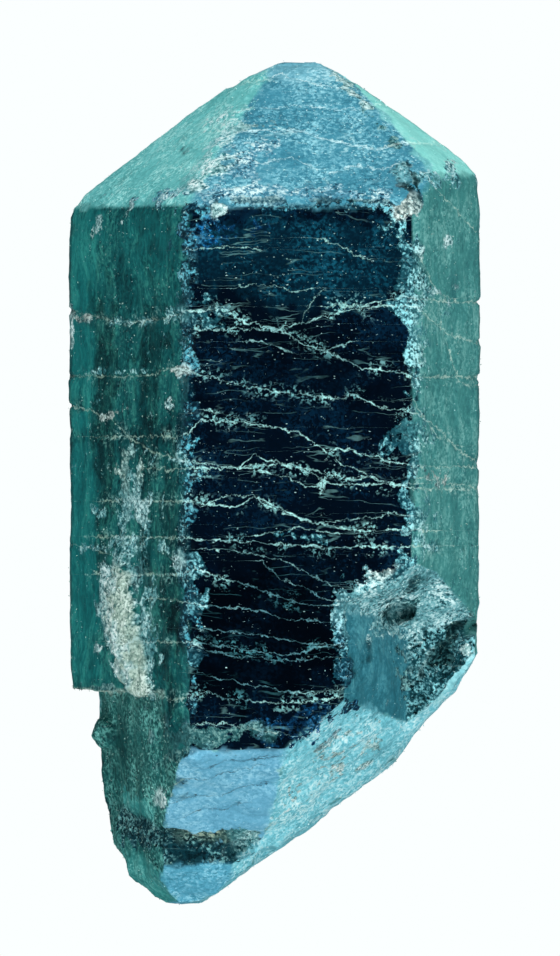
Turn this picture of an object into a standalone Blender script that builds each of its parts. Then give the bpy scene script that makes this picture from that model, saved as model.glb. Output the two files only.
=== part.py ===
"""Apatite crystal: a stout six-sided prism, pointed at one end and broken off in steps at the other.

The long axis runs along Y with the pointed end towards +Y. The crystal lies on its back prism face,
which is the plane z = 0, and +Z is up, out of the face that is seen first. The origin is the middle of
the crystal's footprint. Lengths are millimetres until place_in_metres, the last step.
"""

import math
from collections import namedtuple

import bmesh
import bpy
from mathutils import Euler, Matrix, Vector, noise

MM = 0.001
NODE_NAME = "crystal"

# Driving dimensions of the prism, in millimetres
HALF_WIDTH = 14.6
HALF_LENGTH = 29.6
DEPTH = 20.5
FRONT_LEFT = -6.1
FRONT_RIGHT = 9.75
EDGE_ROUND = 0.8
EDGE_SEGMENTS = 2
BLANK = 200.0

# The sides' outward directions, in degrees about the long axis, with +X at 0 and +Z at 90
FRONT, LEFT_FRONT, LEFT_BACK, BACK, RIGHT_BACK, RIGHT_FRONT = 90, 150, 210, 270, -30, 30
SIDE_STEEPNESS = math.tan(math.radians(60))

# The prism's side corners, where the front and back sides of one flank meet
LEFT_CORNER = Vector((-HALF_WIDTH, 0, DEPTH - (HALF_WIDTH + FRONT_LEFT) * SIDE_STEEPNESS))
RIGHT_CORNER = Vector((HALF_WIDTH, 0, DEPTH - (HALF_WIDTH - FRONT_RIGHT) * SIDE_STEEPNESS))

# The pointed end: the height at which each face leaves its side, and its pitch from a level cut
Slope = namedtuple("Slope", "direction height pitch anchor")
FRONT_ANCHOR = Vector((0, 0, DEPTH))
BACK_ANCHOR = Vector((0, 0, 0))
POINT_FACES = (
    Slope(FRONT, 19.3, 40.3, FRONT_ANCHOR),
    Slope(LEFT_FRONT, 19.4, 41.7, LEFT_CORNER),
    Slope(LEFT_BACK, 19.4, 41.7, LEFT_CORNER),
    Slope(RIGHT_FRONT + 2, 21.75, 36.5, RIGHT_CORNER),
    Slope(RIGHT_BACK, 21.75, 46.3, RIGHT_CORNER),
    Slope(BACK, 23.1, 40.3, BACK_ANCHOR),
)

# The broken end: its faces run the other way, down to a blunt tip on the left
TIP_FACES = (
    Slope(FRONT, -20.4, 40.3, FRONT_ANCHOR),
    Slope(RIGHT_FRONT + 10, -13.0, 47.2, RIGHT_CORNER),
    Slope(RIGHT_BACK + 30, -11.7, 52.0, RIGHT_CORNER),
    Slope(RIGHT_BACK + 30, -15.0, 36.5, RIGHT_CORNER),
    Slope(BACK, -24.0, 40.3, BACK_ANCHOR),
    Slope(LEFT_FRONT + 15, -22.6, 47.0, LEFT_CORNER),
    Slope(LEFT_BACK, -26.6, 35.5, LEFT_CORNER),
)

# The riser that steps the front of the broken end back before its tip
STEP_UPPER_HEIGHT = -18.55
STEP_DEPTH = 13.0

# The ledge on the left, below which the flank is cut back
LEDGE_HEIGHT = -14.65
FLANK_DIRECTION = 163
FLANK_TAPER = 7.0
FLANK_POINT = Vector((-12.0, -17.3, 2.94))
UNDERCUT_TAPER = -26.0
UNDERCUT_POINT = Vector((-11.9, -15.0, 4.9))

# The chunk missing from the front right edge: a side set in, a shelf and two sloping ends
NOTCH_SIDE_POINT = Vector((5.0, 0, DEPTH))
NOTCH_SHELF_DEPTH = 12.9
NOTCH_LEFT_END = (Vector((9.7, -5.6, 20.5)), Vector((5.0, -8.5, 20.5)), Vector((7.45, -9.45, 16.3)))
NOTCH_RIGHT_END = (Vector((10.47, -5.1, 19.2)), Vector((13.76, -9.24, 13.5)), Vector((11.65, -9.9, 13.0)))

# The small chip off the corner where the front meets the pointed end
CHIP_POINT = Vector((9.55, 19.0, 20.2))
CHIP_NORMAL = Vector((0.52, 0.30, 0.80))

# Pits: centre, radii and turn about Z in degrees
Blob = namedtuple("Blob", "centre radii turn")
PITS = (
    Blob(Vector((8.9, -9.1, 14.9)), Vector((0.95, 0.8, 1.9)), 0),
    Blob(Vector((12.2, -12.3, 13.4)), Vector((1.0, 1.9, 1.3)), -32),
    Blob(Vector((13.6, -10.1, 13.4)), Vector((1.6, 0.5, 1.6)), 12),
    Blob(Vector((-2.2, -25.6, 13.2)), Vector((1.5, 0.6, 1.2)), 8),
    Blob(Vector((-0.1, -26.4, 11.5)), Vector((1.3, 1.0, 2.4)), 0),
)

# A lump on the cut back flank, and the crust of matrix left on the left front side
FLANK_LUMP = Blob(Vector((-11.55, -17.4, 3.3)), Vector((1.35, 1.5, 2.3)), 0)
CRUST_MIDDLE = Vector((-10.2, -9.0, 0))
CRUST_RADII = Vector((1.75, 5.4, 0.62))
CRUST_TURN = 9.0
CRUST_SINK = 0.11
CRUST_LUMPS = 0.45

# How finely the broken ground is cut up, and how rough it is
GROUND_EDGE = 1.35
GROUND_ROUNDS = 7
COARSE_SWELL, COARSE_SIZE = 0.36, 3.4
FINE_SWELL, FINE_SIZE = 0.22, 1.5

GROWN, BROKEN, MATRIX = 0, 1, 2


def outward(direction):
    """The level unit vector that points out of the side with this direction."""
    turn = math.radians(direction)
    return Vector((math.cos(turn), 0, math.sin(turn)))


def slope_normal(direction, pitch, end):
    """The outward normal of a face at the pointed end (end = 1) or the broken end (end = -1)."""
    tilt = math.radians(pitch)
    return outward(direction) * math.sin(tilt) + Vector((0, end * math.cos(tilt), 0))


def slope_plane(face, end):
    """A point on a sloping end face, and its outward normal."""
    return face.anchor + Vector((0, face.height, 0)), slope_normal(face.direction, face.pitch, end)


def plane_through(points, towards):
    """A point and the unit normal of the plane through three points, turned to face towards."""
    first, second, third = points
    normal = (second - first).cross(third - first).normalized()
    return first, normal if normal.dot(towards) > 0 else -normal


def cut(bm, plane, material):
    """Cuts away what lies on the plane's outer side, and closes the solid with one flat face."""
    point, normal = plane
    geometry = bm.verts[:] + bm.edges[:] + bm.faces[:]
    made = bmesh.ops.bisect_plane(
        bm, geom=geometry, plane_co=point, plane_no=normal, clear_outer=True, dist=1e-5
    )
    rim = [part for part in made["geom_cut"] if isinstance(part, bmesh.types.BMEdge)]
    open_rim = [edge for edge in rim if edge.is_boundary]
    if open_rim:
        filled = bmesh.ops.contextual_create(bm, geom=open_rim)
        for face in filled["faces"]:
            face.material_index = material


def blank():
    """A block larger than the crystal, to be cut down by planes."""
    bm = bmesh.new()
    bmesh.ops.create_cube(bm, size=BLANK)
    return bm


def grown_body():
    """The whole prism with its pointed end, its edges rounded, and then its broken end cut sharp."""
    bm = blank()
    sides = (
        (FRONT_ANCHOR, outward(FRONT)),
        (LEFT_CORNER, outward(LEFT_FRONT)),
        (LEFT_CORNER, outward(LEFT_BACK)),
        (BACK_ANCHOR, outward(BACK)),
        (RIGHT_CORNER, outward(RIGHT_BACK)),
        (RIGHT_CORNER, outward(RIGHT_FRONT)),
    )
    for plane in sides:
        cut(bm, plane, GROWN)
    for face in POINT_FACES:
        cut(bm, slope_plane(face, 1), GROWN)
    cut(bm, (Vector((0, HALF_LENGTH, 0)), Vector((0, 1, 0))), GROWN)
    bmesh.ops.bevel(
        bm, geom=bm.edges[:], offset=EDGE_ROUND, segments=EDGE_SEGMENTS, profile=0.5, affect="EDGES"
    )
    for face in TIP_FACES:
        cut(bm, slope_plane(face, -1), BROKEN)
    cut(bm, (Vector((0, -HALF_LENGTH, 0)), Vector((0, -1, 0))), BROKEN)
    cut(bm, (CHIP_POINT, CHIP_NORMAL.normalized()), BROKEN)
    return bm


def wedge(planes):
    """A convex cutter: what is left of the blank once each plane has cut it."""
    bm = blank()
    for plane in planes:
        cut(bm, plane, BROKEN)
    for face in bm.faces:
        face.material_index = BROKEN
    return bm


def flipped(plane):
    """The same plane, facing the other way."""
    point, normal = plane
    return point, -normal


def flank_plane(point, taper):
    """The steep plane of the cut back flank through a point, leaning in by taper towards the tip."""
    lean = math.radians(taper)
    return point, outward(FLANK_DIRECTION) * math.cos(lean) - Vector((0, math.sin(lean), 0))


def ledge_cutters():
    """The cutters that set the left flank back below its ledge and undercut it there."""
    below = (Vector((0, LEDGE_HEIGHT, 0)), Vector((0, 1, 0)))
    flank = flank_plane(FLANK_POINT, FLANK_TAPER)
    undercut = flank_plane(UNDERCUT_POINT, UNDERCUT_TAPER)
    return wedge((below, flipped(flank))), wedge((below, flipped(undercut)))


def step_cutter():
    """The cutter that takes the front of the broken end down to its riser."""
    upper = Slope(FRONT, STEP_UPPER_HEIGHT, 40.3, FRONT_ANCHOR)
    riser = (Vector((0, 0, STEP_DEPTH)), Vector((0, 0, 1)))
    return wedge((flipped(slope_plane(upper, -1)), flipped(riser)))


def notch_cutter():
    """The cutter for the missing chunk of the front right edge."""
    side = (NOTCH_SIDE_POINT, outward(RIGHT_FRONT))
    shelf = (Vector((0, 0, NOTCH_SHELF_DEPTH)), Vector((0, 0, 1)))
    into_gap = Vector((0.2, -1.0, 0.6))
    left_end = plane_through(NOTCH_LEFT_END, into_gap)
    right_end = plane_through(NOTCH_RIGHT_END, into_gap)
    return wedge(tuple(flipped(plane) for plane in (side, shelf, left_end, right_end)))


def rough_ball(blob, turn_to=None, subdivisions=2, lumps=0.18, material=BROKEN):
    """A lumpy ball with the blob's radii, for a pit, a lump or the crust."""
    bm = bmesh.new()
    bmesh.ops.create_icosphere(bm, subdivisions=subdivisions, radius=1.0)
    spin = turn_to or Euler((0, 0, math.radians(blob.turn))).to_matrix()
    for vert in bm.verts:
        point = Vector(vert.co[i] * blob.radii[i] for i in range(3))
        swell = 1 + lumps * noise.noise(point * 1.3 + blob.centre)
        vert.co = spin @ (point * swell) + blob.centre
    for face in bm.faces:
        face.material_index = material
    return bm


def crust():
    """The crust of matrix: a flat lumpy body half sunk in the left front side."""
    across = outward(LEFT_FRONT)
    along = Vector((0, 1, 0))
    depth = DEPTH + (CRUST_MIDDLE.x - FRONT_LEFT) * SIDE_STEEPNESS
    middle = Vector((CRUST_MIDDLE.x, CRUST_MIDDLE.y, depth)) - across * CRUST_SINK
    level = along.cross(across)
    axes = Matrix((level, along, across)).transposed()
    lean = Matrix.Rotation(math.radians(CRUST_TURN), 3, "Z")
    return rough_ball(Blob(middle, CRUST_RADII, 0), axes @ lean, 3, CRUST_LUMPS, MATRIX)


def as_object(bm, name, materials):
    """Makes a mesh object of a bmesh, with the crystal's materials."""
    mesh = bpy.data.meshes.new(name)
    bmesh.ops.recalc_face_normals(bm, faces=bm.faces[:])
    bm.to_mesh(mesh)
    bm.free()
    for material in materials:
        mesh.materials.append(material)
    made = bpy.data.objects.new(name, mesh)
    bpy.context.scene.collection.objects.link(made)
    return made


def carve(body, tools, operation):
    """Cuts or joins each tool by its own exact Boolean, and puts the result in body's mesh."""
    for tool in tools:
        step = body.modifiers.new(tool.name, "BOOLEAN")
        step.object = tool
        step.operation = operation
    graph = bpy.context.evaluated_depsgraph_get()
    carved = bpy.data.meshes.new_from_object(body.evaluated_get(graph))
    body.modifiers.clear()
    body.data = carved
    for tool in tools:
        bpy.data.objects.remove(tool)


def divide_ground(bm):
    """Halves the broken ground's long edges, longest first, until it is fine enough to roughen."""
    bmesh.ops.triangulate(bm, faces=bm.faces[:])
    for _ in range(GROUND_ROUNDS):
        long_edges = [
            edge
            for edge in bm.edges
            if edge.calc_length() > GROUND_EDGE
            and any(face.material_index != GROWN for face in edge.link_faces)
        ]
        for edge in sorted(long_edges, key=lambda item: -item.calc_length()):
            halve(edge)


def halve(edge):
    """Puts a point in the middle of an edge between two triangles, and joins it to their far corners."""
    triangles = list(edge.link_faces)
    far = [next(v for v in face.verts if v not in edge.verts) for face in triangles]
    _, middle = bmesh.utils.edge_split(edge, edge.verts[0], 0.5)
    for face, corner in zip(triangles, far):
        bmesh.utils.face_split(face, middle, corner)


def roughen_ground(bm):
    """Raises and sinks the broken ground's inner points, and leaves its rim where it meets grown faces."""
    bm.normal_update()
    moves = {}
    for vert in bm.verts:
        if any(face.material_index == GROWN for face in vert.link_faces):
            continue
        coarse = noise.noise(vert.co / COARSE_SIZE) * COARSE_SWELL
        fine = noise.noise(vert.co / FINE_SIZE + Vector((7.0, 3.0, 1.0))) * FINE_SWELL
        moves[vert] = vert.normal * (coarse + fine)
    for vert, move in moves.items():
        vert.co += move


def place_in_metres(mesh):
    """Puts the footprint's middle at the origin with the lowest point at z = 0, in metres."""
    corners = [vert.co for vert in mesh.vertices]
    low = Vector(min(corner[i] for corner in corners) for i in range(3))
    high = Vector(max(corner[i] for corner in corners) for i in range(3))
    middle = (low + high) / 2
    mesh.transform(Matrix.Translation((-middle.x, -middle.y, -low.z)))
    mesh.transform(Matrix.Scale(MM, 4))


def mineral(name, colour, roughness, see_through=0.0):
    """A Principled material for one kind of surface."""
    material = bpy.data.materials.new(name)
    material.use_nodes = True
    shader = material.node_tree.nodes["Principled BSDF"]
    shader.inputs["Base Color"].default_value = (*colour, 1.0)
    shader.inputs["Roughness"].default_value = roughness
    shader.inputs["Metallic"].default_value = 0.0
    shader.inputs["IOR"].default_value = 1.63
    shader.inputs["Transmission Weight"].default_value = see_through
    return material


def build_crystal():
    """Builds the crystal: the grown body, what broke off it, what clings to it, and its rough ground."""
    materials = (
        mineral("apatite_grown", (0.010, 0.075, 0.085), 0.16, 0.2),
        mineral("apatite_broken", (0.10, 0.30, 0.32), 0.45),
        mineral("matrix_crust", (0.42, 0.46, 0.41), 0.85),
    )
    body = as_object(grown_body(), NODE_NAME, materials)
    carve(body, [as_object(crust(), "crust", materials)], "UNION")
    gaps = (*ledge_cutters(), step_cutter(), notch_cutter())
    carve(body, [as_object(bm, f"gap_{i}", materials) for i, bm in enumerate(gaps)], "DIFFERENCE")
    carve(body, [as_object(rough_ball(FLANK_LUMP), "lump", materials)], "UNION")
    pits = tuple(rough_ball(pit) for pit in PITS)
    carve(body, [as_object(bm, f"pit_{i}", materials) for i, bm in enumerate(pits)], "DIFFERENCE")
    bm = bmesh.new()
    bm.from_mesh(body.data)
    bmesh.ops.dissolve_degenerate(bm, edges=bm.edges[:], dist=0.01)
    divide_ground(bm)
    roughen_ground(bm)
    bm.to_mesh(body.data)
    bm.free()
    place_in_metres(body.data)
    body.data.shade_smooth()
    body.data.set_sharp_from_angle(angle=math.radians(25))


def main():
    """Clears the scene and builds the crystal."""
    for old in list(bpy.data.objects):
        bpy.data.objects.remove(old)
    build_crystal()


main()
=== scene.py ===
"""The looks of an apatite crystal that lies on its back face and is seen from straight above.

The crystal is one dark blue-green prism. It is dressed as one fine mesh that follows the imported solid
and carries what the solid is too coarse for: growth striations, healed cross fractures, crumbling
edges and pits. A second mesh holds the splinters and crumbs that lie on it. Lengths in this file are
millimetres unless a name says otherwise.
"""

import logging
import math
from dataclasses import dataclass, field
from enum import Enum
from itertools import product
from typing import Any, Mapping, Optional, Sequence

import bpy
import numpy as np
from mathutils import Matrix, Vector
from mathutils.bvhtree import BVHTree


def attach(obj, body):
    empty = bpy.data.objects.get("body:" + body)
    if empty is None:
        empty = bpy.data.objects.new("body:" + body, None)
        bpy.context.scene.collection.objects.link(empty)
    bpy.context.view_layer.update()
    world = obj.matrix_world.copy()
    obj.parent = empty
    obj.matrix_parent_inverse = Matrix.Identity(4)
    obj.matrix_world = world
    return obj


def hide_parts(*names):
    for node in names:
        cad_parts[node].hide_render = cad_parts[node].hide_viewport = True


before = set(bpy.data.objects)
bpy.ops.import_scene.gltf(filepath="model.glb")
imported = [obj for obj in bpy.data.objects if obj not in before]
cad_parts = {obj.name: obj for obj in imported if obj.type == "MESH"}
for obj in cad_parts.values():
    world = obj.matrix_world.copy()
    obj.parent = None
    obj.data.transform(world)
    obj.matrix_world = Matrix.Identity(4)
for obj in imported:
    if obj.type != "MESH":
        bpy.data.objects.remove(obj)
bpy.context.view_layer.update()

MM = 0.001
LOG = logging.getLogger("apatite")
Node = bpy.types.Node
Socket = bpy.types.NodeSocket


def linear(hex_colour: str) -> np.ndarray:
    """Turns an sRGB hex colour into linear light.

    Args:
        hex_colour: six hex digits, with or without a leading hash.

    Returns:
        Three linear values from 0 to 1.
    """
    digits = hex_colour.lstrip("#")
    coded = np.array([int(digits[i:i + 2], 16) / 255 for i in (0, 2, 4)])
    return np.where(coded <= 0.04045, coded / 12.92, ((coded + 0.055) / 1.055) ** 2.4)


def ramp(values: np.ndarray, start: float, end: float) -> np.ndarray:
    """Eases values from 0 at start to 1 at end.

    Args:
        values: the numbers to ease.
        start: where the ramp begins; it may lie above end.
        end: where the ramp is full.

    Returns:
        An array from 0 to 1.
    """
    share = np.clip((values - start) / (end - start), 0.0, 1.0)
    return share * share * (3 - 2 * share)


@dataclass(frozen=True)
class PhotoFrame:
    """How a place in the photograph, in pixels, lies over the crystal as seen from straight above.

    Attributes:
        mm_per_px: the real length of one pixel.
        middle_px: the pixel over the middle of the crystal's footprint.
        size_px: the photograph's width and height.
    """

    mm_per_px: float = 0.07
    middle_px: tuple[float, float] = (274.0, 483.5)
    size_px: tuple[int, int] = (560, 956)

    def place(self, pixels: Sequence[Sequence[float]]) -> np.ndarray:
        """Returns the X and Y in millimetres of places given in pixels."""
        points = np.asarray(pixels, dtype=float)
        return (points - self.middle_px) * (self.mm_per_px, -self.mm_per_px)

    def view_centre(self) -> np.ndarray:
        """Returns the X and Y in millimetres under the photograph's own middle."""
        return self.place([(self.size_px[0] / 2, self.size_px[1] / 2)])[0]


PHOTO = PhotoFrame()


class NoiseField:
    """Smooth noise that is the same at each run, worked out for whole arrays of points."""

    TABLE_SIZE = 4096
    PRIMES = (73856093, 19349663, 83492791)
    # How far apart the layers are read, so that they don't repeat each other
    LAYER_SHIFT = 17.3

    def __init__(self, seed: int) -> None:
        """Draws the table of lattice values for one seed."""
        self.table = np.random.default_rng(seed).random(self.TABLE_SIZE) * 2 - 1

    def value(self, points: np.ndarray, size: Any) -> np.ndarray:
        """Reads the noise.

        Args:
            points: places, one a row.
            size: the width of one bump, or three widths along X, Y and Z.

        Returns:
            One value from -1 to 1 for each place.
        """
        scaled = points / np.asarray(size, dtype=float)
        cell = np.floor(scaled).astype(np.int64)
        part = scaled - cell
        part = part * part * (3 - 2 * part)
        total = np.zeros(len(points))
        for corner in product((0, 1), repeat=3):
            keys = cell + corner
            mixed = keys[:, 0] * self.PRIMES[0] ^ keys[:, 1] * self.PRIMES[1] ^ keys[:, 2] * self.PRIMES[2]
            share = np.prod(np.where(corner, part, 1 - part), axis=1)
            total += self.table[mixed & (self.TABLE_SIZE - 1)] * share
        return total

    def layered(self, points: np.ndarray, size: Any, layers: int = 3) -> np.ndarray:
        """Adds up layers of noise, each half as wide and half as strong as the one before."""
        width = np.asarray(size, dtype=float)
        shift = self.LAYER_SHIFT
        return sum(self.value(points + shift * i, width / 2**i) * 0.5**i for i in range(layers))


class Facet(Enum):
    """The crystal's faces and the broken surfaces between them."""

    FRONT = "front"
    LEFT = "left"
    LEFT_BACK = "left back"
    BACK = "back"
    RIGHT_BACK = "right back"
    RIGHT = "right"
    POINT_FRONT = "point front"
    POINT_LEFT = "point left"
    POINT_LEFT_BACK = "point left back"
    POINT_BACK = "point back"
    POINT_RIGHT_BACK = "point right back"
    POINT_RIGHT = "point right"
    POINT_CAP = "point cap"
    TIP_FRONT = "tip front"
    TIP_SLOPE = "tip slope"
    TIP_SLOPE_BACK = "tip slope back"
    TIP_SHOULDER = "tip shoulder"
    TIP_BACK = "tip back"
    TIP_LEFT = "tip left"
    TIP_LEFT_BACK = "tip left back"
    TIP_CAP = "tip cap"
    STEP_FACE = "step face"
    STEP_RISER = "step riser"
    FLANK = "flank"
    LEDGE = "ledge"
    NOTCH_SIDE = "notch side"
    NOTCH_SHELF = "notch shelf"
    NOTCH_LEFT = "notch left"
    NOTCH_RIGHT = "notch right"


@dataclass(frozen=True)
class Survey:
    """Where places on the crystal's surface lie among its facets.

    Attributes:
        margins: for each facet, one number a place: above 0 on the facet, below 0 off it.
        edge: how far each place is from a second facet.
        corner: how far each place is from a third facet.
    """

    margins: dict[Facet, np.ndarray]
    edge: np.ndarray
    corner: np.ndarray


class Line(Enum):
    """The lines along the prism on which its faces are measured."""

    FRONT = "front"
    BACK = "back"
    LEFT = "left"
    RIGHT = "right"


@dataclass(frozen=True)
class EndFace:
    """One sloping face of the pointed or the broken end.

    Attributes:
        direction: which way it faces, in degrees about the long axis, with +X at 0 and +Z at 90.
        height: where it crosses its line, in millimetres along the axis; above 0 it is on the point.
        pitch: its angle from a level cut, in degrees.
        line: the line on which it is measured.
    """

    direction: float
    height: float
    pitch: float
    line: Line


# Which way each side of the prism faces, and a line that lies on it
SIDES: Mapping[Facet, tuple[float, Line]] = {
    Facet.FRONT: (90, Line.FRONT),
    Facet.LEFT: (150, Line.LEFT),
    Facet.LEFT_BACK: (210, Line.LEFT),
    Facet.BACK: (270, Line.BACK),
    Facet.RIGHT_BACK: (-30, Line.RIGHT),
    Facet.RIGHT: (30, Line.RIGHT),
}

END_FACES: Mapping[Facet, EndFace] = {
    Facet.POINT_FRONT: EndFace(90, 19.3, 40.3, Line.FRONT),
    Facet.POINT_LEFT: EndFace(150, 19.4, 41.7, Line.LEFT),
    Facet.POINT_LEFT_BACK: EndFace(210, 19.4, 41.7, Line.LEFT),
    Facet.POINT_RIGHT: EndFace(32, 21.75, 36.5, Line.RIGHT),
    Facet.POINT_RIGHT_BACK: EndFace(-30, 21.75, 46.3, Line.RIGHT),
    Facet.POINT_BACK: EndFace(270, 23.1, 40.3, Line.BACK),
    Facet.TIP_FRONT: EndFace(90, -20.4, 40.3, Line.FRONT),
    Facet.TIP_SLOPE: EndFace(40, -13.0, 47.2, Line.RIGHT),
    Facet.TIP_SHOULDER: EndFace(0, -11.7, 52.0, Line.RIGHT),
    Facet.TIP_SLOPE_BACK: EndFace(0, -15.0, 36.5, Line.RIGHT),
    Facet.TIP_BACK: EndFace(270, -24.0, 40.3, Line.BACK),
    Facet.TIP_LEFT: EndFace(165, -22.6, 47.0, Line.LEFT),
    Facet.TIP_LEFT_BACK: EndFace(210, -26.6, 35.5, Line.LEFT),
    Facet.STEP_FACE: EndFace(90, -18.55, 40.3, Line.FRONT),
}


@dataclass
class CrystalForm:
    """The planes that bound the crystal: its grown faces, and the cuts where pieces broke away.

    Attributes:
        depth: the height of the front face over the back one.
        half_width: half the distance between the left and the right corner.
        half_length: half the distance from the cap of the point to that of the tip.
        front_left: the X of the front face's left edge.
        front_right: the X of its right edge.
        steepness: how much a side falls for each millimetre across.
        ledge_height: where the ledge on the left lies along the axis.
        flank_place: a point on the broken flank below the ledge.
        flank_direction: which way the flank faces, in degrees about the long axis.
        flank_lean: how far it leans towards the tip, in degrees.
        step_floor: the height of the floor of the step in the tip.
        notch_side: the X at which the notch's smooth side meets the front face.
        notch_direction: which way that side faces, in degrees about the long axis.
        notch_floor: the height of the notch's floor.
        notch_left: three corners of the wall at the notch's left.
        notch_right: three corners of the wall at its right.
        gaps: the walls of each gap where a piece is missing.
        normals: each plane's outward direction.
        points: a point on each plane.
    """

    depth: float = 20.5
    half_width: float = 14.6
    half_length: float = 29.6
    front_left: float = -6.1
    front_right: float = 9.75
    steepness: float = math.tan(math.radians(60))
    ledge_height: float = -14.65
    flank_place: tuple[float, float, float] = (-12.0, -17.3, 2.94)
    flank_direction: float = 163
    flank_lean: float = 7
    step_floor: float = 13.0
    notch_side: float = 5.0
    notch_direction: float = 30
    notch_floor: float = 12.9
    notch_left: tuple[tuple[float, float, float], ...] = (
        (9.7, -5.6, 20.5), (5.0, -8.5, 20.5), (7.45, -9.45, 16.3)
    )
    notch_right: tuple[tuple[float, float, float], ...] = (
        (10.47, -5.1, 19.2), (13.76, -9.24, 13.5), (11.65, -9.9, 13.0)
    )
    gaps: tuple[tuple[Facet, ...], ...] = (
        (Facet.LEDGE, Facet.FLANK),
        (Facet.STEP_FACE, Facet.STEP_RISER),
        (Facet.NOTCH_SIDE, Facet.NOTCH_SHELF, Facet.NOTCH_LEFT, Facet.NOTCH_RIGHT),
    )
    normals: dict[Facet, np.ndarray] = field(default_factory=dict)
    points: dict[Facet, np.ndarray] = field(default_factory=dict)

    def __post_init__(self) -> None:
        """Places every plane."""
        left = self.depth - (self.half_width + self.front_left) * self.steepness
        right = self.depth - (self.half_width - self.front_right) * self.steepness
        lines = {
            Line.FRONT: np.array((0, 0, self.depth)),
            Line.BACK: np.zeros(3),
            Line.LEFT: np.array((-self.half_width, 0, left)),
            Line.RIGHT: np.array((self.half_width, 0, right)),
        }
        for facet, (direction, line) in SIDES.items():
            self._set(facet, lines[line], self.outward(direction))
        for facet, face in END_FACES.items():
            self._slope(facet, face, lines[face.line])
        self._set(Facet.POINT_CAP, (0, self.half_length, 0), (0, 1, 0))
        self._set(Facet.TIP_CAP, (0, -self.half_length, 0), (0, -1, 0))
        self._gap_walls()

    @staticmethod
    def outward(direction: float) -> np.ndarray:
        """Returns the level unit vector with this direction about the long axis."""
        turn = math.radians(direction)
        return np.array((math.cos(turn), 0.0, math.sin(turn)))

    def _set(self, facet: Facet, point: Sequence[float], normal: Sequence[float]) -> None:
        """Keeps one plane."""
        self.points[facet] = np.asarray(point, dtype=float)
        self.normals[facet] = np.asarray(normal, dtype=float) / np.linalg.norm(normal)

    def _slope(self, facet: Facet, face: EndFace, anchor: np.ndarray) -> None:
        """Keeps one sloping end face, which faces +Y at the point and -Y at the tip."""
        end = 1 if face.height > 0 else -1
        tilt = math.radians(face.pitch)
        normal = self.outward(face.direction) * math.sin(tilt) + np.array((0, end * math.cos(tilt), 0))
        self._set(facet, anchor + np.array((0, face.height, 0)), normal)

    def _gap_walls(self) -> None:
        """Places the other walls of the gaps; each faces into its gap."""
        lean = math.radians(self.flank_lean)
        across = self.outward(self.flank_direction) * math.cos(lean)
        self._set(Facet.LEDGE, (0, self.ledge_height, 0), (0, -1, 0))
        self._set(Facet.FLANK, self.flank_place, across - np.array((0, math.sin(lean), 0)))
        self._set(Facet.STEP_RISER, (0, 0, self.step_floor), (0, 0, 1))
        self._set(Facet.NOTCH_SIDE, (self.notch_side, 0, self.depth), self.outward(self.notch_direction))
        self._set(Facet.NOTCH_SHELF, (0, 0, self.notch_floor), (0, 0, 1))
        self._wall(Facet.NOTCH_LEFT, self.notch_left)
        self._wall(Facet.NOTCH_RIGHT, self.notch_right)

    def _wall(self, facet: Facet, corners: Sequence[Sequence[float]]) -> None:
        """Keeps the plane through three corners, turned to face into the gap below it."""
        first, second, third = (np.asarray(corner, dtype=float) for corner in corners)
        normal = np.cross(second - first, third - first)
        self._set(facet, first, normal if normal @ (0.2, -1.0, 0.6) > 0 else -normal)

    def distance(self, facet: Facet, places: np.ndarray) -> np.ndarray:
        """Returns how far each place lies outside a facet's plane."""
        return (places - self.points[facet]) @ self.normals[facet]

    def survey(self, places: np.ndarray) -> Survey:
        """Works out where every place on the surface lies among the facets.

        Args:
            places: points on the crystal's surface, one a row.

        Returns:
            The margins and the closeness to edges and corners.
        """
        in_gap = {facet for gap in self.gaps for facet in gap}
        scores = {f: self.distance(f, places) for f in Facet if f not in in_gap}
        for gap in self.gaps:
            walls = {f: self.distance(f, places) for f in gap}
            # A gap's cutter lies where every wall's distance is above 0, so the nearest wall leads
            lead = np.min(np.stack(list(walls.values())), axis=0)
            scores.update({f: 2 * lead - wall for f, wall in walls.items()})
        names = list(scores)
        table = np.stack([scores[name] for name in names])
        best = np.argmax(table, axis=0)
        third, second, top = np.sort(table, axis=0)[-3:]
        margins = {
            name: np.where(best == row, top - second, table[row] - top) for row, name in enumerate(names)
        }
        return Survey(margins, top - second, top - third)


# How far round the crystal's left a fracture that runs through is followed, in millimetres
WRAP_REACH = 6.0


class Reach(Enum):
    """How strongly a fracture shows."""

    THROUGH = "through"
    HAIR = "hair"


@dataclass(frozen=True)
class Fracture:
    """A crack across the crystal, healed with pale mineral.

    Attributes:
        trace: its course over the crystal as seen from above, in the photograph's pixels.
        reach: whether it runs right through the crystal or is a hairline.
        depth: how deep its groove is in millimetres.
        dip: how far it climbs along the long axis for each millimetre of depth into the crystal.
        onward: how far it runs on to the right of its trace, in millimetres, where it runs through.
    """

    trace: tuple[tuple[float, float], ...]
    reach: Reach = Reach.HAIR
    depth: float = 0.05
    dip: float = 0.1
    onward: float = 6.0

    def signed(self, places: np.ndarray, roof: np.ndarray) -> np.ndarray:
        """Works out each place's distance from the crack's sheet.

        Args:
            places: points on the surface.
            roof: the height of the front surface over each place.

        Returns:
            Millimetres, above 0 on the pointed side and below 0 on the tip side.
        """
        knots = PHOTO.place(self.trace)
        course = np.interp(places[:, 0], knots[:, 0], knots[:, 1])
        slope = np.gradient(knots[:, 1], knots[:, 0])
        tilt = np.cos(np.arctan(np.interp(places[:, 0], knots[:, 0], slope)))
        away = (places[:, 1] - course - self.dip * (roof - places[:, 2])) * tilt
        through = self.reach is Reach.THROUGH
        before = knots[0, 0] - places[:, 0] - (WRAP_REACH if through else 0.0)
        after = places[:, 0] - knots[-1, 0] - (self.onward if through else 0.0)
        beyond = np.maximum(0.0, np.maximum(before, after))
        return away + np.where(away < 0, -1.0, 1.0) * beyond


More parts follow.
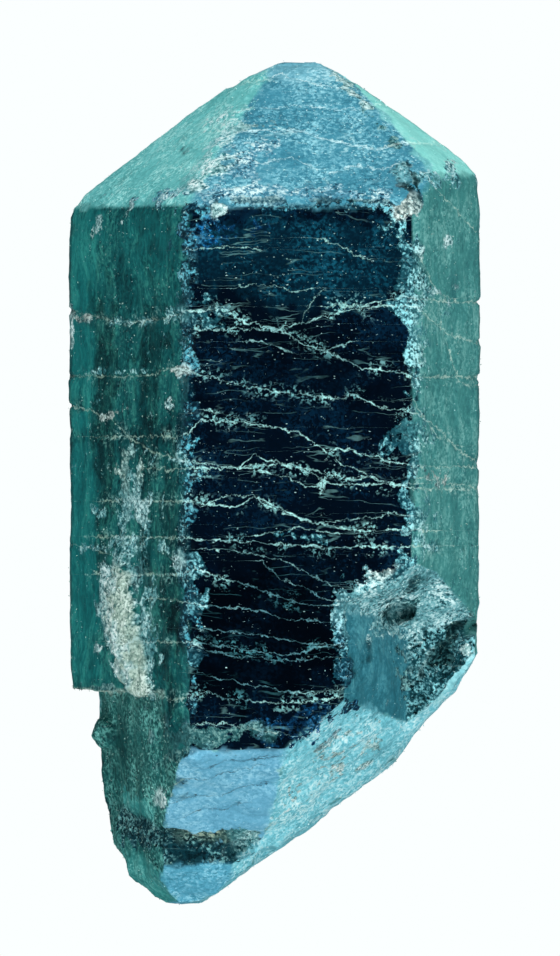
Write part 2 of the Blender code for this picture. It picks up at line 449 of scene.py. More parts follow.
FRACTURES = (
    Fracture(((71, 311), (100, 317), (125, 325), (161, 319), (190, 313), (223, 311), (246, 324), (280, 331),
              (307, 347), (330, 354), (360, 368), (394, 372), (409, 378)), Reach.THROUGH, 0.2, 0.12),
    Fracture(((70, 376), (100, 377), (143, 377), (170, 369), (196, 373), (241, 386), (280, 393), (312, 397),
              (342, 401), (350, 393), (378, 408), (409, 411), (437, 427), (455, 447), (475, 461)),
             Reach.THROUGH, 0.12, -0.08),
    Fracture(((73, 406), (89, 411), (110, 418), (130, 438), (154, 452), (186, 461), (239, 469), (280, 463),
              (303, 470), (330, 484)), Reach.THROUGH, 0.12, 0.15),
    Fracture(((280, 331), (301, 324), (330, 317), (351, 311), (387, 301), (409, 299), (440, 303)),
             Reach.THROUGH, 0.1),
    Fracture(((182, 437), (191, 433), (202, 420), (232, 422), (262, 426), (298, 433), (325, 450), (351, 451),
              (394, 463), (412, 467)), Reach.THROUGH, 0.08),
    Fracture(((190, 501), (212, 504), (238, 507), (254, 496), (287, 512), (316, 523), (350, 530)),
             Reach.THROUGH, 0.08),
    Fracture(((180, 537), (229, 541), (280, 543), (325, 548), (351, 546)), Reach.THROUGH, 0.08),
    Fracture(((179, 574), (196, 567), (225, 578), (250, 585), (268, 592), (303, 603), (339, 603)),
             Reach.THROUGH, 0.1, 0.1, 0.0),
    Fracture(((190, 641), (205, 642), (241, 648), (290, 653), (339, 642)), Reach.THROUGH, 0.06, 0.1, 0.0),
    Fracture(((175, 697), (209, 689), (223, 696), (280, 701), (325, 698), (345, 692)),
             Reach.THROUGH, 0.1, 0.1, 0.0),
    Fracture(((416, 308), (430, 322), (448, 335), (475, 343)), Reach.THROUGH, 0.1),
    Fracture(((239, 469), (254, 455), (262, 458), (280, 462), (310, 470), (351, 480), (370, 476), (394, 484),
              (414, 489)), Reach.THROUGH, 0.08),
    Fracture(((316, 523), (350, 519), (376, 517), (391, 512), (410, 516))),
    Fracture(((325, 451), (339, 463), (360, 472), (385, 484))),
    Fracture(((204, 505), (230, 495), (254, 495), (262, 503), (287, 514))),
    Fracture(((255, 535), (280, 531), (300, 527), (325, 532), (350, 534))),
    Fracture(((258, 471), (290, 478), (305, 487), (323, 486), (325, 478))),
    Fracture(((205, 410), (232, 416), (262, 428))),
    Fracture(((262, 560), (280, 578), (307, 587), (321, 598), (355, 601), (380, 597))),
    Fracture(((202, 548), (240, 551), (280, 559), (310, 573), (330, 585))),
    Fracture(((150, 598), (170, 598), (205, 605), (250, 608), (285, 617), (320, 620))),
    Fracture(((200, 628), (240, 631), (280, 637), (316, 643), (341, 644))),
    Fracture(((195, 645), (240, 655), (290, 659), (330, 655))),
    Fracture(((200, 672), (229, 678), (255, 684), (280, 688), (307, 692), (342, 687))),
    Fracture(((196, 722), (225, 721), (250, 727), (285, 731), (310, 740))),
    Fracture(((316, 240), (340, 248), (351, 254), (366, 262))),
    Fracture(((234, 289), (262, 286), (290, 292), (320, 290))),
    Fracture(((301, 324), (306, 308), (315, 300), (323, 292))),
    Fracture(((245, 343), (262, 343), (280, 350), (295, 355))),
    Fracture(((330, 350), (345, 346), (355, 342))),
    Fracture(((186, 252), (215, 250), (232, 249), (262, 251))),
    Fracture(((440, 325), (448, 354), (459, 385), (478, 386))),
    Fracture(((412, 402), (425, 420), (436, 436), (462, 447))),
    Fracture(((424, 176), (440, 196), (458, 214), (476, 232))),
    Fracture(((412, 248), (424, 268), (436, 292), (452, 300))),
    Fracture(((232, 84), (258, 80), (280, 72), (300, 81), (326, 87), (346, 88), (372, 104)),
             Reach.THROUGH, 0.06, 0.0),
    Fracture(((300, 133), (328, 141), (351, 148), (378, 152), (401, 144)), Reach.THROUGH, 0.05, 0.0),
    Fracture(((215, 160), (240, 156), (262, 166), (290, 160), (318, 172)), Reach.HAIR, 0.05, 0.0),
    Fracture(((262, 110), (300, 107), (340, 112), (370, 108)), Reach.HAIR, 0.04, 0.0),
    Fracture(((330, 176), (352, 168), (380, 172), (400, 166)), Reach.HAIR, 0.05, 0.0),
    Fracture(((420, 478), (445, 484), (470, 486))),
    Fracture(((70, 545), (95, 549), (105, 553))),
    Fracture(((168, 788), (182, 782), (205, 781), (232, 772), (262, 766))),
    Fracture(((172, 806), (196, 800), (222, 801), (244, 790), (268, 786))),
    Fracture(((180, 824), (204, 815), (226, 817), (240, 808))),
    Fracture(((208, 768), (226, 760), (246, 760), (280, 757))),
)


# The parts of a tone's row, three numbers each; its roughness comes after them
TONE_COLUMNS = ("dark", "mid", "light", "vein", "amounts")


@dataclass(frozen=True)
class Tone:
    """The colours of one kind of surface, from its pits to its high spots.

    Attributes:
        dark: hex colour of hollows and clear depths.
        mid: hex colour of most of it.
        light: hex colour of bruised, frosted or raised spots, and of the painted highlights along striations.
        vein: hex colour of the mineral that heals its cracks.
        crumble: how strongly it shows flakes and crumbs, 0 to 1.
        streak: how strongly it shows striations along the crystal, 0 to 1.
        fleck_and_glint: how many pale flecks and painted glints it has, 0 to 1.
        rough: its roughness, from wet gloss to matt.
    """

    dark: str
    mid: str
    light: str
    vein: str
    crumble: float
    streak: float
    fleck_and_glint: float
    rough: float

    def row(self) -> np.ndarray:
        """Returns the tone as one row: four linear colours, then the three amounts and the roughness."""
        colours = [linear(c) for c in (self.dark, self.mid, self.light, self.vein)]
        return np.concatenate([*colours, (self.crumble, self.streak, self.fleck_and_glint, self.rough)])


DEEP = Tone("#01040a", "#020b18", "#0d3450", "#bdebe8", 0.22, 0.05, 0.22, 0.10)
SIDE_GREEN = Tone("#021d26", "#14585a", "#459388", "#bcd6cb", 0.35, 0.62, 0.24, 0.30)
SIDE_GREY = Tone("#26595f", "#458583", "#8cbfba", "#c4d8cc", 0.36, 0.45, 0.26, 0.36)
FROST_BLUE = Tone("#1b5266", "#4a8fa5", "#b4e8f4", "#e4fbff", 0.46, 0.10, 0.60, 0.42)
FROST_GREEN = Tone("#4a9a9c", "#79c8c8", "#cffcf8", "#defff4", 0.55, 0.05, 0.40, 0.45)
FROST_PALE = Tone("#73c0bc", "#99ddd6", "#daffff", "#defff4", 0.25, 0.05, 0.10, 0.42)
# Pale blue of the step's face: partly its own colour, partly painted reflection of bright light
POLISHED_BREAK = Tone("#44809c", "#72aecb", "#bde6f5", "#12313f", 0.36, 0.02, 0.15, 0.25)
# Pale teal of the tip's sloping faces: partly frosted crumbs, partly painted glow of light through the thin
# tip and painted reflection
PALE_SLOPE = Tone("#3f8a9a", "#88cfdd", "#f4ffff", "#f4ffff", 0.60, 0.15, 0.34, 0.40)
MOTTLED_BREAK = Tone("#04222a", "#276664", "#7cc0b8", "#9fd0c8", 0.68, 0.10, 0.50, 0.50)
# Pale blue of the tip's front and cap: partly their own colour, partly painted reflection of bright light
TIP_BLUE = Tone("#2f768e", "#62abc6", "#b4e6f6", "#28596c", 0.60, 0.02, 0.25, 0.38)
TIP_GREEN = Tone("#1c5f63", "#3a8a88", "#7fc8c2", "#a9d0c8", 0.55, 0.05, 0.20, 0.42)
GROOVE = Tone("#020c12", "#123c46", "#7fb4b4", "#9fc0b5", 1.00, 0.00, 0.30, 0.60)
CRUMBLED = Tone("#17474f", "#78b4bc", "#f1ffff", "#f1ffff", 1.00, 0.00, 0.40, 0.50)
RECESS = Tone("#1a4c58", "#317180", "#68aab4", "#7fb0b4", 0.30, 0.55, 0.16, 0.32)
WALL = Tone("#02080b", "#1c525c", "#9ad8e0", "#c0dcd8", 1.00, 0.00, 0.35, 0.55)
BRUISE = Tone("#06222e", "#174f5c", "#9adde6", "#d2f4f4", 0.95, 0.00, 0.50, 0.45)
BRUISE_DEEP = Tone("#010812", "#05293c", "#5fb2c6", "#c8efef", 0.95, 0.00, 0.45, 0.45)
BASE_CRUMB = Tone("#123a50", "#5f9fb8", "#f1feff", "#f1ffff", 1.00, 0.00, 0.50, 0.40)
MATRIX = Tone("#4a6a66", "#a9b9ac", "#f4f8f0", "#dfeae4", 0.90, 0.00, 0.35, 0.85)
RIND = Tone("#0d4046", "#6fa5a8", "#effdfd", "#dff2f2", 1.00, 0.00, 0.60, 0.65)
DEEPEST = Tone("#010205", "#01040a", "#05182a", "#5b8b97", 0.20, 0.02, 0.12, 0.08)
# Lighter green along the thin left edge and near the point: painted glow of light shining through the crystal
EDGE_GLOW_GREEN = Tone("#0c4a50", "#1a7474", "#3a9c94", "#9fc3b4", 0.15, 0.60, 0.04, 0.30)
DEEP_TEAL = Tone("#010912", "#05202f", "#185a70", "#a8d6d2", 0.50, 0.05, 0.32, 0.12)
DEEP_BLUE = Tone("#020a20", "#062c4a", "#1f72ac", "#9fdcf0", 0.80, 0.05, 0.40, 0.14)
DARK_GREEN = Tone("#021218", "#093033", "#2d6c64", "#9db3a2", 0.45, 0.85, 0.24, 0.30)
WHITE_CRUMB = Tone("#1d545c", "#a9c9c9", "#ffffff", "#f1ffff", 1.00, 0.00, 0.70, 0.55)
PINK_CRUMB = Tone("#27474c", "#a3a9a4", "#f6f2ec", "#f1ffff", 1.00, 0.00, 0.60, 0.60)
GREY_RIND = Tone("#0b2c30", "#336467", "#86a8a4", "#a8b8ae", 0.90, 0.00, 0.24, 0.60)
BROWN_CRUMB = Tone("#0a1c20", "#4f6d66", "#b9bfa8", "#c9d4c0", 1.00, 0.00, 0.40, 0.65)
RIM_CRUMB = Tone("#0f3a42", "#4c8c92", "#c6ecec", "#e2fbfb", 0.95, 0.00, 0.50, 0.45)
# Pale rim along the lower right edge: painted glow of light shining through the thin edge
PALE_RIM = Tone("#5fa3ae", "#9fd6de", "#f0ffff", "#f4ffff", 0.45, 0.10, 0.30, 0.42)
# Painted shade: the dark tone of pits, hollows and the line along the foot of the point; some of these are
# also sunk in the relief
SHADED_HOLLOW = Tone("#020a0d", "#0b2a30", "#4d8084", "#9fc0b5", 0.95, 0.00, 0.30, 0.60)
CAP_BLUE = Tone("#3a7b92", "#84bccd", "#e2fbff", "#f4ffff", 0.45, 0.05, 0.45, 0.40)
PALE_CRUMB = Tone("#3d8c92", "#8fd0d2", "#f4ffff", "#f4ffff", 0.90, 0.00, 0.50, 0.45)
HOLE = Tone("#03131a", "#235a60", "#a8dcdc", "#9fc0b5", 1.00, 0.00, 0.35, 0.60)

FACET_TONES: Mapping[Facet, Tone] = {
    Facet.FRONT: DEEP,
    Facet.LEFT: SIDE_GREEN,
    Facet.LEFT_BACK: SIDE_GREEN,
    Facet.BACK: SIDE_GREEN,
    Facet.RIGHT_BACK: SIDE_GREY,
    Facet.RIGHT: SIDE_GREY,
    Facet.POINT_FRONT: FROST_BLUE,
    Facet.POINT_LEFT: FROST_GREEN,
    Facet.POINT_LEFT_BACK: FROST_GREEN,
    Facet.POINT_BACK: FROST_BLUE,
    Facet.POINT_RIGHT_BACK: FROST_PALE,
    Facet.POINT_RIGHT: FROST_PALE,
    Facet.POINT_CAP: FROST_BLUE,
    Facet.TIP_FRONT: TIP_BLUE,
    Facet.TIP_SLOPE: PALE_SLOPE,
    Facet.TIP_SLOPE_BACK: PALE_SLOPE,
    Facet.TIP_SHOULDER: PALE_SLOPE,
    Facet.TIP_BACK: TIP_GREEN,
    Facet.TIP_LEFT: TIP_GREEN,
    Facet.TIP_LEFT_BACK: TIP_GREEN,
    Facet.TIP_CAP: TIP_BLUE,
    Facet.STEP_FACE: POLISHED_BREAK,
    Facet.STEP_RISER: GROOVE,
    Facet.FLANK: MOTTLED_BREAK,
    Facet.LEDGE: MATRIX,
    Facet.NOTCH_SIDE: RECESS,
    Facet.NOTCH_SHELF: WALL,
    Facet.NOTCH_LEFT: CRUMBLED,
    Facet.NOTCH_RIGHT: CRUMBLED,
}


@dataclass(frozen=True)
class Patch:
    """A place where the surface has another tone than its facet.

    Attributes:
        tone: the tone that shows there.
        centre: its middle in the photograph's pixels.
        radii: its half width and half height in pixels.
        turn: how far it is turned, in degrees, anticlockwise in the photograph.
        strength: how fully it covers, 0 to 1.
        edge: how wide its ragged edge is, as a share of its radius.
        lift: how far it stands proud of the face, in millimetres; below 0 it is sunk.
    """

    tone: Tone
    centre: tuple[float, float]
    radii: tuple[float, float]
    turn: float = 0.0
    strength: float = 1.0
    edge: float = 0.5
    lift: float = 0.0

    def cover(self, places: np.ndarray, ragged: np.ndarray) -> np.ndarray:
        """Works out how far the patch covers each place.

        Args:
            places: points on the surface.
            ragged: noise from -1 to 1 that breaks up the outline.

        Returns:
            A share from 0 to 1.
        """
        offset = (places[:, :2] - PHOTO.place([self.centre])[0]) / PHOTO.mm_per_px
        turn = math.radians(self.turn)
        along = offset @ (math.cos(turn), math.sin(turn)) / self.radii[0]
        across = offset @ (-math.sin(turn), math.cos(turn)) / self.radii[1]
        radius = np.hypot(along, across) + ragged * self.edge
        return ramp(radius, 1 + self.edge / 2, 1 - self.edge / 2) * self.strength


# Soft changes of tone, which are blended into the facets
ZONES = (
    # Painted glow along the thin left edge
    Patch(EDGE_GLOW_GREEN, (84, 300), (20, 110), 0, 0.7, 0.5),
    Patch(EDGE_GLOW_GREEN, (84, 560), (22, 120), 0, 0.6, 0.5),
    Patch(EDGE_GLOW_GREEN, (150, 245), (24, 40), 20, 0.4, 0.8),
    Patch(DARK_GREEN, (106, 440), (11, 130), -1, 0.85, 0.6),
    Patch(DARK_GREEN, (100, 340), (8, 70), 3, 0.6, 0.8),
    Patch(DARK_GREEN, (152, 400), (10, 120), -2, 0.6, 0.8),
    Patch(DARK_GREEN, (172, 560), (14, 150), 0, 0.7, 0.8),
    Patch(DARK_GREEN, (148, 520), (9, 120), 2, 0.5, 0.8),
    Patch(DARK_GREEN, (158, 655), (20, 42), 0, 0.6, 0.8),
    Patch(DARK_GREEN, (124, 762), (14, 44), 12, 0.45, 0.8),
    Patch(DEEPEST, (262, 640), (78, 66), 0, 0.95, 0.5),
    Patch(DEEPEST, (290, 375), (95, 40), 8, 0.5, 0.8),
    Patch(DEEPEST, (285, 560), (95, 30), 0, 0.5, 0.8),
    Patch(DEEP_TEAL, (305, 262), (108, 48), -4, 0.9, 0.3),
    Patch(DEEP_TEAL, (185, 430), (6, 215), 0, 0.6, 0.6),
    Patch(CAP_BLUE, (308, 70), (42, 13), 0, 0.9, 0.3),
    Patch(SHADED_HOLLOW, (134, 824), (30, 18), -25, 0.85, 0.5),
    Patch(TIP_GREEN, (140, 872), (26, 15), -40, 1.0, 0.6),
    Patch(TIP_BLUE, (200, 882), (34, 19), 0, 0.8, 0.5),
)

# Patches with ragged edges, which lie over the facets, the later ones on top
PATCHES = (
    Patch(DEEP_BLUE, (215, 236), (36, 14), 8, 0.45, 0.9),
    Patch(DEEP_BLUE, (300, 722), (50, 22), 18, 0.5, 0.6),
    Patch(BRUISE, (199, 322), (24, 7), 12, 0.55, 1.2),
    Patch(BRUISE, (205, 302), (20, 6), -10, 0.45, 1.4),
    Patch(BRUISE, (196, 570), (20, 12), -10, 0.8, 0.8),
    Patch(BRUISE, (198, 604), (12, 6), 0, 0.7, 0.8),
    Patch(BRUISE, (192, 655), (8, 10), 0, 0.6, 0.8),
    Patch(BRUISE, (404, 298), (16, 20), 0, 0.8, 0.8),
    Patch(BRUISE, (310, 536), (26, 8), -6, 0.6, 0.9),
    Patch(BRUISE, (395, 440), (14, 10), 30, 0.6, 0.9),
    Patch(BRUISE, (404, 500), (10, 26), 0, 0.6, 0.9),
    Patch(BRUISE_DEEP, (190, 262), (8, 50), 0, 0.42, 1.0),
    Patch(BRUISE_DEEP, (187, 430), (8, 215), 0, 0.26, 1.0),
    Patch(BRUISE_DEEP, (300, 209), (108, 5), 0, 0.45, 1.0),
    Patch(BASE_CRUMB, (300, 197), (118, 7), 0, 0.7, 1.0, 0.03),
    Patch(SHADED_HOLLOW, (262, 203), (40, 2), 0, 0.6, 1.2),
    Patch(SHADED_HOLLOW, (350, 204), (36, 2), 0, 0.6, 1.2),
    Patch(BASE_CRUMB, (232, 178), (34, 12), 30, 0.7, 0.9, 0.03),
    Patch(PALE_CRUMB, (206, 172), (26, 14), 35, 0.7, 0.9, 0.03),
    Patch(BASE_CRUMB, (250, 150), (26, 20), 20, 0.5, 1.0),
    Patch(PALE_CRUMB, (226, 128), (14, 30), -40, 0.5, 1.0),
    Patch(BASE_CRUMB, (400, 168), (22, 12), -20, 0.4, 1.0),
    Patch(WHITE_CRUMB, (222, 168), (16, 8), 20, 0.6, 1.0),
    Patch(WHITE_CRUMB, (252, 128), (18, 6), 0, 0.5, 1.2),
    Patch(WHITE_CRUMB, (199, 187), (8, 6), 0, 0.8, 0.8, 0.06),
    Patch(WHITE_CRUMB, (338, 76), (10, 7), -40, 0.6, 1.0),
    Patch(RIM_CRUMB, (368, 114), (5, 38), 38, 0.45, 1.4),
    Patch(GREY_RIND, (392, 144), (4, 26), 38, 0.4, 1.4),
    Patch(WHITE_CRUMB, (356, 96), (4, 14), 38, 0.5, 1.4),
    Patch(WHITE_CRUMB, (452, 160), (16, 5), -40, 0.45, 1.4),
    Patch(WHITE_CRUMB, (222, 212), (8, 7), 0, 0.9, 0.6, 0.1),
    Patch(PINK_CRUMB, (405, 204), (10, 11), 0, 0.8, 1.0, 0.06),
    Patch(CRUMBLED, (432, 178), (34, 11), -8, 0.6, 0.8),
    Patch(SHADED_HOLLOW, (414, 181), (3, 18), 20, 0.9, 0.7, -0.2),
    Patch(SHADED_HOLLOW, (408, 190), (7, 4), 0, 0.7, 0.8, -0.1),
    Patch(GREY_RIND, (210, 734), (48, 10), 4, 0.9, 0.8),
    Patch(CRUMBLED, (374, 594), (28, 20), 20, 0.85, 0.9, 0.05),
    Patch(CRUMBLED, (350, 607), (14, 10), 30, 0.6, 0.9),
    Patch(PINK_CRUMB, (383, 572), (16, 6), 20, 0.5, 0.9),
    Patch(BRUISE, (343, 640), (9, 48), 0, 0.5, 1.0),
    Patch(DEEP_BLUE, (345, 676), (5, 26), 6, 0.3, 1.8),
    Patch(CRUMBLED, (414, 650), (12, 28), 0, 0.4, 1.0),
    Patch(HOLE, (399, 609), (16, 12), 20, 0.85, 0.8, -0.1),
    Patch(SHADED_HOLLOW, (405, 613), (7, 5), 0, 0.6, 1.0, -0.2),
    Patch(SHADED_HOLLOW, (388, 613), (4, 8), -20, 0.6, 0.8, -0.15),
    Patch(SHADED_HOLLOW, (399, 598), (5, 6), 0, 0.45, 1.2, -0.2),
    Patch(GROOVE, (412, 586), (4, 9), -45, 0.8, 0.8, -0.1),
    Patch(CRUMBLED, (397, 606), (7, 8), 20, 0.7, 1.2, 0.05),
    Patch(SHADED_HOLLOW, (442, 651), (9, 30), -37, 0.95, 0.6, -0.3),
    Patch(SHADED_HOLLOW, (460, 627), (19, 4), 8, 1.0, 0.5, -0.15),
    Patch(GROOVE, (398, 650), (5, 22), 4, 0.55, 1.0),
    Patch(GROOVE, (406, 676), (5, 16), 4, 0.6, 1.0),
    Patch(PALE_RIM, (456, 684), (34, 8), 52, 0.95, 0.4),
    Patch(CRUMBLED, (384, 630), (26, 8), 0, 0.5, 1.0),
    Patch(CRUMBLED, (455, 700), (18, 12), 45, 0.6, 1.0),
    Patch(WHITE_CRUMB, (464, 648), (7, 7), 0, 0.9, 0.6, 0.2),
    Patch(MOTTLED_BREAK, (159, 772), (12, 30), -15, 1.0, 0.6),
    Patch(GREY_RIND, (178, 752), (18, 7), 25, 0.9, 0.8),
    Patch(WHITE_CRUMB, (161, 797), (6, 8), 0, 0.8, 0.9, 0.05),
    Patch(GROOVE, (182, 843), (52, 13), -4, 1.0, 0.6, -0.3),
    Patch(GROOVE, (136, 828), (28, 15), -25, 1.0, 0.6, -0.2),
    Patch(BRUISE, (178, 846), (46, 8), -4, 0.4, 1.2),
    Patch(BROWN_CRUMB, (206, 835), (30, 7), -4, 0.7, 0.8),
    Patch(RIM_CRUMB, (245, 838), (11, 13), 0, 0.8, 0.9),
    Patch(TIP_GREEN, (140, 806), (22, 8), -28, 0.8, 0.6, 0.15),
    Patch(PINK_CRUMB, (331, 761), (18, 6), 35, 0.35, 1.4, 0.04),
    Patch(WHITE_CRUMB, (362, 765), (12, 4), 15, 0.8, 0.9, 0.05),
    Patch(PINK_CRUMB, (291, 791), (12, 5), 30, 0.35, 1.4, 0.04),
    Patch(WHITE_CRUMB, (345, 735), (34, 6), 35, 0.45, 1.2),
    Patch(WHITE_CRUMB, (300, 800), (60, 5), 35, 0.3, 1.2),
    Patch(WHITE_CRUMB, (372, 745), (14, 5), 35, 0.5, 1.0),
    Patch(WHITE_CRUMB, (166, 404), (9, 6), 10, 0.55, 1.2, 0.05),
    Patch(MATRIX, (124, 474), (8, 16), 0, 0.55, 1.0, 0.04),
    Patch(MATRIX, (143, 474), (6, 12), 0, 0.45, 1.0, 0.04),
    Patch(RIM_CRUMB, (138, 500), (16, 26), 10, 0.4, 1.0, 0.03),
    Patch(WHITE_CRUMB, (140, 508), (10, 12), 30, 0.4, 1.0, 0.03),
    Patch(RIM_CRUMB, (122, 540), (11, 26), 0, 0.45, 1.0, 0.03),
    Patch(RIM_CRUMB, (144, 560), (9, 30), 0, 0.3, 1.0),
    Patch(SHADED_HOLLOW, (136, 576), (4, 12), 0, 0.8, 0.8),
    Patch(WHITE_CRUMB, (104, 588), (5, 18), -6, 0.8, 0.9, 0.05),
    Patch(WHITE_CRUMB, (100, 648), (6, 7), 0, 0.8, 0.9, 0.05),
    Patch(RIM_CRUMB, (113, 646), (6, 22), 10, 0.5, 1.0),
    Patch(RIM_CRUMB, (151, 640), (8, 44), 0, 0.42, 1.0),
    Patch(RIM_CRUMB, (165, 548), (16, 5), -20, 0.5, 1.0),
    Patch(WHITE_CRUMB, (174, 560), (8, 6), 0, 0.6, 1.0),
    Patch(RIM_CRUMB, (100, 510), (10, 6), 20, 0.5, 1.0),
    Patch(RIM_CRUMB, (120, 580), (50, 130), 0, 0.17, 0.8),
    Patch(RIM_CRUMB, (130, 330), (50, 120), 0, 0.13, 0.8),
    Patch(PINK_CRUMB, (114, 414), (12, 4), 20, 0.7, 1.0, 0.05),
    Patch(PINK_CRUMB, (178, 371), (13, 4), 0, 0.6, 1.0, 0.05),
    Patch(PINK_CRUMB, (82, 318), (9, 3), 0, 0.6, 1.0, 0.03),
    Patch(RIM_CRUMB, (176, 318), (14, 6), 20, 0.6, 1.0, 0.03),
    Patch(RIM_CRUMB, (135, 323), (26, 4), 0, 0.5, 1.0),
    Patch(RIM_CRUMB, (120, 372), (40, 3), 0, 0.35, 1.0),
    Patch(RIM_CRUMB, (174, 460), (14, 5), -10, 0.6, 1.0),
    Patch(RIM_CRUMB, (86, 548), (12, 4), 0, 0.5, 1.0),
    Patch(WHITE_CRUMB, (447, 240), (3, 6), 0, 0.6, 1.2),
    Patch(WHITE_CRUMB, (422, 258), (3, 4), 0, 0.6, 1.2),
    Patch(WHITE_CRUMB, (437, 293), (5, 3), 0, 0.6, 1.2),
    Patch(WHITE_CRUMB, (464, 295), (6, 4), 0, 0.6, 1.2),
    Patch(WHITE_CRUMB, (98, 226), (3, 7), -20, 0.5, 1.2),
    Patch(WHITE_CRUMB, (126, 216), (3, 9), -25, 0.5, 1.2),
    Patch(WHITE_CRUMB, (67, 330), (4, 22), 0, 0.6, 1.0),
    Patch(GROOVE, (68, 309), (5, 4), 0, 0.8, 0.8),
    Patch(RIM_CRUMB, (420, 330), (9, 60), 0, 0.32, 1.0),
    Patch(RIM_CRUMB, (421, 480), (9, 90), 2, 0.32, 1.0),
    Patch(RIM_CRUMB, (440, 240), (18, 50), 0, 0.16, 1.2),
    Patch(RIM_CRUMB, (462, 560), (10, 30), 0, 0.25, 1.2),
    Patch(RIM_CRUMB, (428, 300), (24, 14), -30, 0.3, 1.2),
    Patch(RIM_CRUMB, (430, 340), (14, 20), 30, 0.22, 1.2),
    Patch(RIM_CRUMB, (420, 425), (14, 14), 40, 0.35, 1.2),
    Patch(PINK_CRUMB, (428, 476), (22, 7), 10, 0.35, 1.2),
    Patch(RIM_CRUMB, (424, 530), (12, 26), 0, 0.3, 1.2),
    Patch(WHITE_CRUMB, (455, 290), (3, 9), -30, 0.6, 1.2),
    Patch(GREY_RIND, (100, 688), (30, 4), -2, 0.8, 0.6, 0.05),
)


@dataclass
class Overlay:
    """The patches that lie over the facets' own tones, the later ones on top.

    Attributes:
        tones: the patches' tones at each point, each weighted by how far it covers.
        cover: how far they cover each point together.
        bare: the cover below which a point counts as bare.
    """

    tones: np.ndarray
    cover: np.ndarray
    bare: float = 0.002

    def lay(self, tone: Tone, cover: np.ndarray) -> None:
        """Lays one more tone on top."""
        self.tones = self.tones * (1 - cover)[:, None] + cover[:, None] * tone.row()
        self.cover = self.cover + cover * (1 - self.cover)

    def over(self, base: np.ndarray) -> tuple[np.ndarray, np.ndarray]:
        """Returns the patches' own tone at each point, and what it gives together with the base."""
        bare = (self.cover < self.bare)[:, None]
        own = np.where(bare, base, self.tones / np.maximum(self.cover, self.bare)[:, None])
        return own, base + self.cover[:, None] * (own - base)


@dataclass(frozen=True)
class Crust:
    """The crust of pale matrix on the left side.

    Attributes:
        spine: its middle line as seen from above, in the photograph's pixels.
        widths_px: its half width at each point of the spine, in pixels.
        rind_px: how wide the crumbled rind round it is.
        ragged_px: how far its outline wanders.
        lift: how far it stands proud of the crystal's side, in millimetres.
        grain: the width of its lumps.
        grain_height: their height.
    """

    spine: tuple[tuple[float, float], ...] = (
        (132, 462), (131, 480), (124, 520), (119, 562), (119, 585),
        (121, 605), (126, 640), (134, 667), (138, 688), (140, 700)
    )
    widths_px: tuple[float, ...] = (2, 4, 2, 4, 10, 13, 15, 15, 12, 3)
    rind_px: float = 15.0
    ragged_px: float = 6.0
    lift: float = 0.35
    grain: float = 0.6
    grain_height: float = 0.12

    def covers(self, places: np.ndarray, ragged: np.ndarray) -> tuple[np.ndarray, np.ndarray, np.ndarray]:
        """Works out the crust's own cover and that of the crumbled rind round it.

        Args:
            places: points on the surface.
            ragged: noise from -1 to 1 that breaks up the outline.

        Returns:
            Two arrays of shares from 0 to 1, and how far each place lies to the left of its middle, in
            half widths.
        """
        knots = PHOTO.place(self.spine)
        down = -places[:, 1]
        middle = np.interp(down, -knots[:, 1], knots[:, 0])
        width = np.interp(down, -knots[:, 1], self.widths_px, left=0.0, right=0.0)
        away = np.abs(places[:, 0] - middle) / PHOTO.mm_per_px + ragged * self.ragged_px
        body = ramp(away - width, 2.0, -2.0) * ramp(width, 3, 8)
        rind = ramp(away - width, self.rind_px, 0.0) * ramp(width, 1, 4)
        leftward = (middle - places[:, 0]) / PHOTO.mm_per_px / np.maximum(width, 1.0)
        return body, rind, np.clip(leftward, -1.0, 1.0)


class Wiring:
    """The shader nodes of one material, or of the world."""

    def __init__(self, owner: Any) -> None:
        """Gives a material or a world an empty node tree to fill."""
        owner.use_nodes = True
        self.tree = owner.node_tree
        self.tree.nodes.clear()

    def add(self, kind: str, inputs: Optional[Mapping[Any, Any]] = None, **settings: Any) -> Node:
        """Adds one shader node, with its settings, its values and its links.

        Args:
            kind: the node's type, without the leading ShaderNode.
            inputs: for each socket's name or number, a value, another node or one of its outputs.
            **settings: the node's own settings.

        Returns:
            The new node.
        """
        node = self.tree.nodes.new("ShaderNode" + kind)
        for name, value in settings.items():
            setattr(node, name, value)
        for key, value in (inputs or {}).items():
            if isinstance(key, str):
                socket = next(s for s in node.inputs if s.enabled and s.name == key)
            else:
                socket = node.inputs[key]
            if isinstance(value, Node):
                value = next(s for s in value.outputs if s.enabled)
            if isinstance(value, Socket):
                self.tree.links.new(value, socket)
            else:
                socket.default_value = value
        return node


@dataclass(frozen=True)
class Grain:
    """One scale of cloudy pattern, and the part of its range that shows.

    Attributes:
        size: the width of one blob in millimetres.
        detail: how many finer layers lie on it.
        ragged: how strong the finer layers are, 0 to 1.
        low: the value of the pattern that becomes 0.
        high: the value of the pattern that becomes 1.
    """

    size: float
    detail: float = 3.0
    ragged: float = 0.5
    low: float = 0.0
    high: float = 1.0

    def noise(self, w: Wiring, place: Node) -> Node:
        """Adds the bare pattern at a place."""
        sizes = {"Scale": 1 / self.size, "Detail": self.detail, "Roughness": self.ragged}
        return w.add("TexNoise", {"Vector": place, **sizes})

    def spread(self, w: Wiring, place: Node) -> Node:
        """Adds the pattern at a place, with the part that shows spread over 0 to 1."""
        return w.add("MapRange", {0: self.noise(w, place).outputs[0], 1: self.low, 2: self.high})

    def shift(self, w: Wiring, place: Node, reach: float) -> Node:
        """Adds a shift in millimetres that follows the pattern, up to half the reach each way."""
        noise = self.noise(w, place).outputs["Color"]
        centred = w.add("VectorMath", {0: noise, 1: (0.5,) * 3}, operation="SUBTRACT")
        return w.add("VectorMath", {0: centred, "Scale": reach}, operation="SCALE")


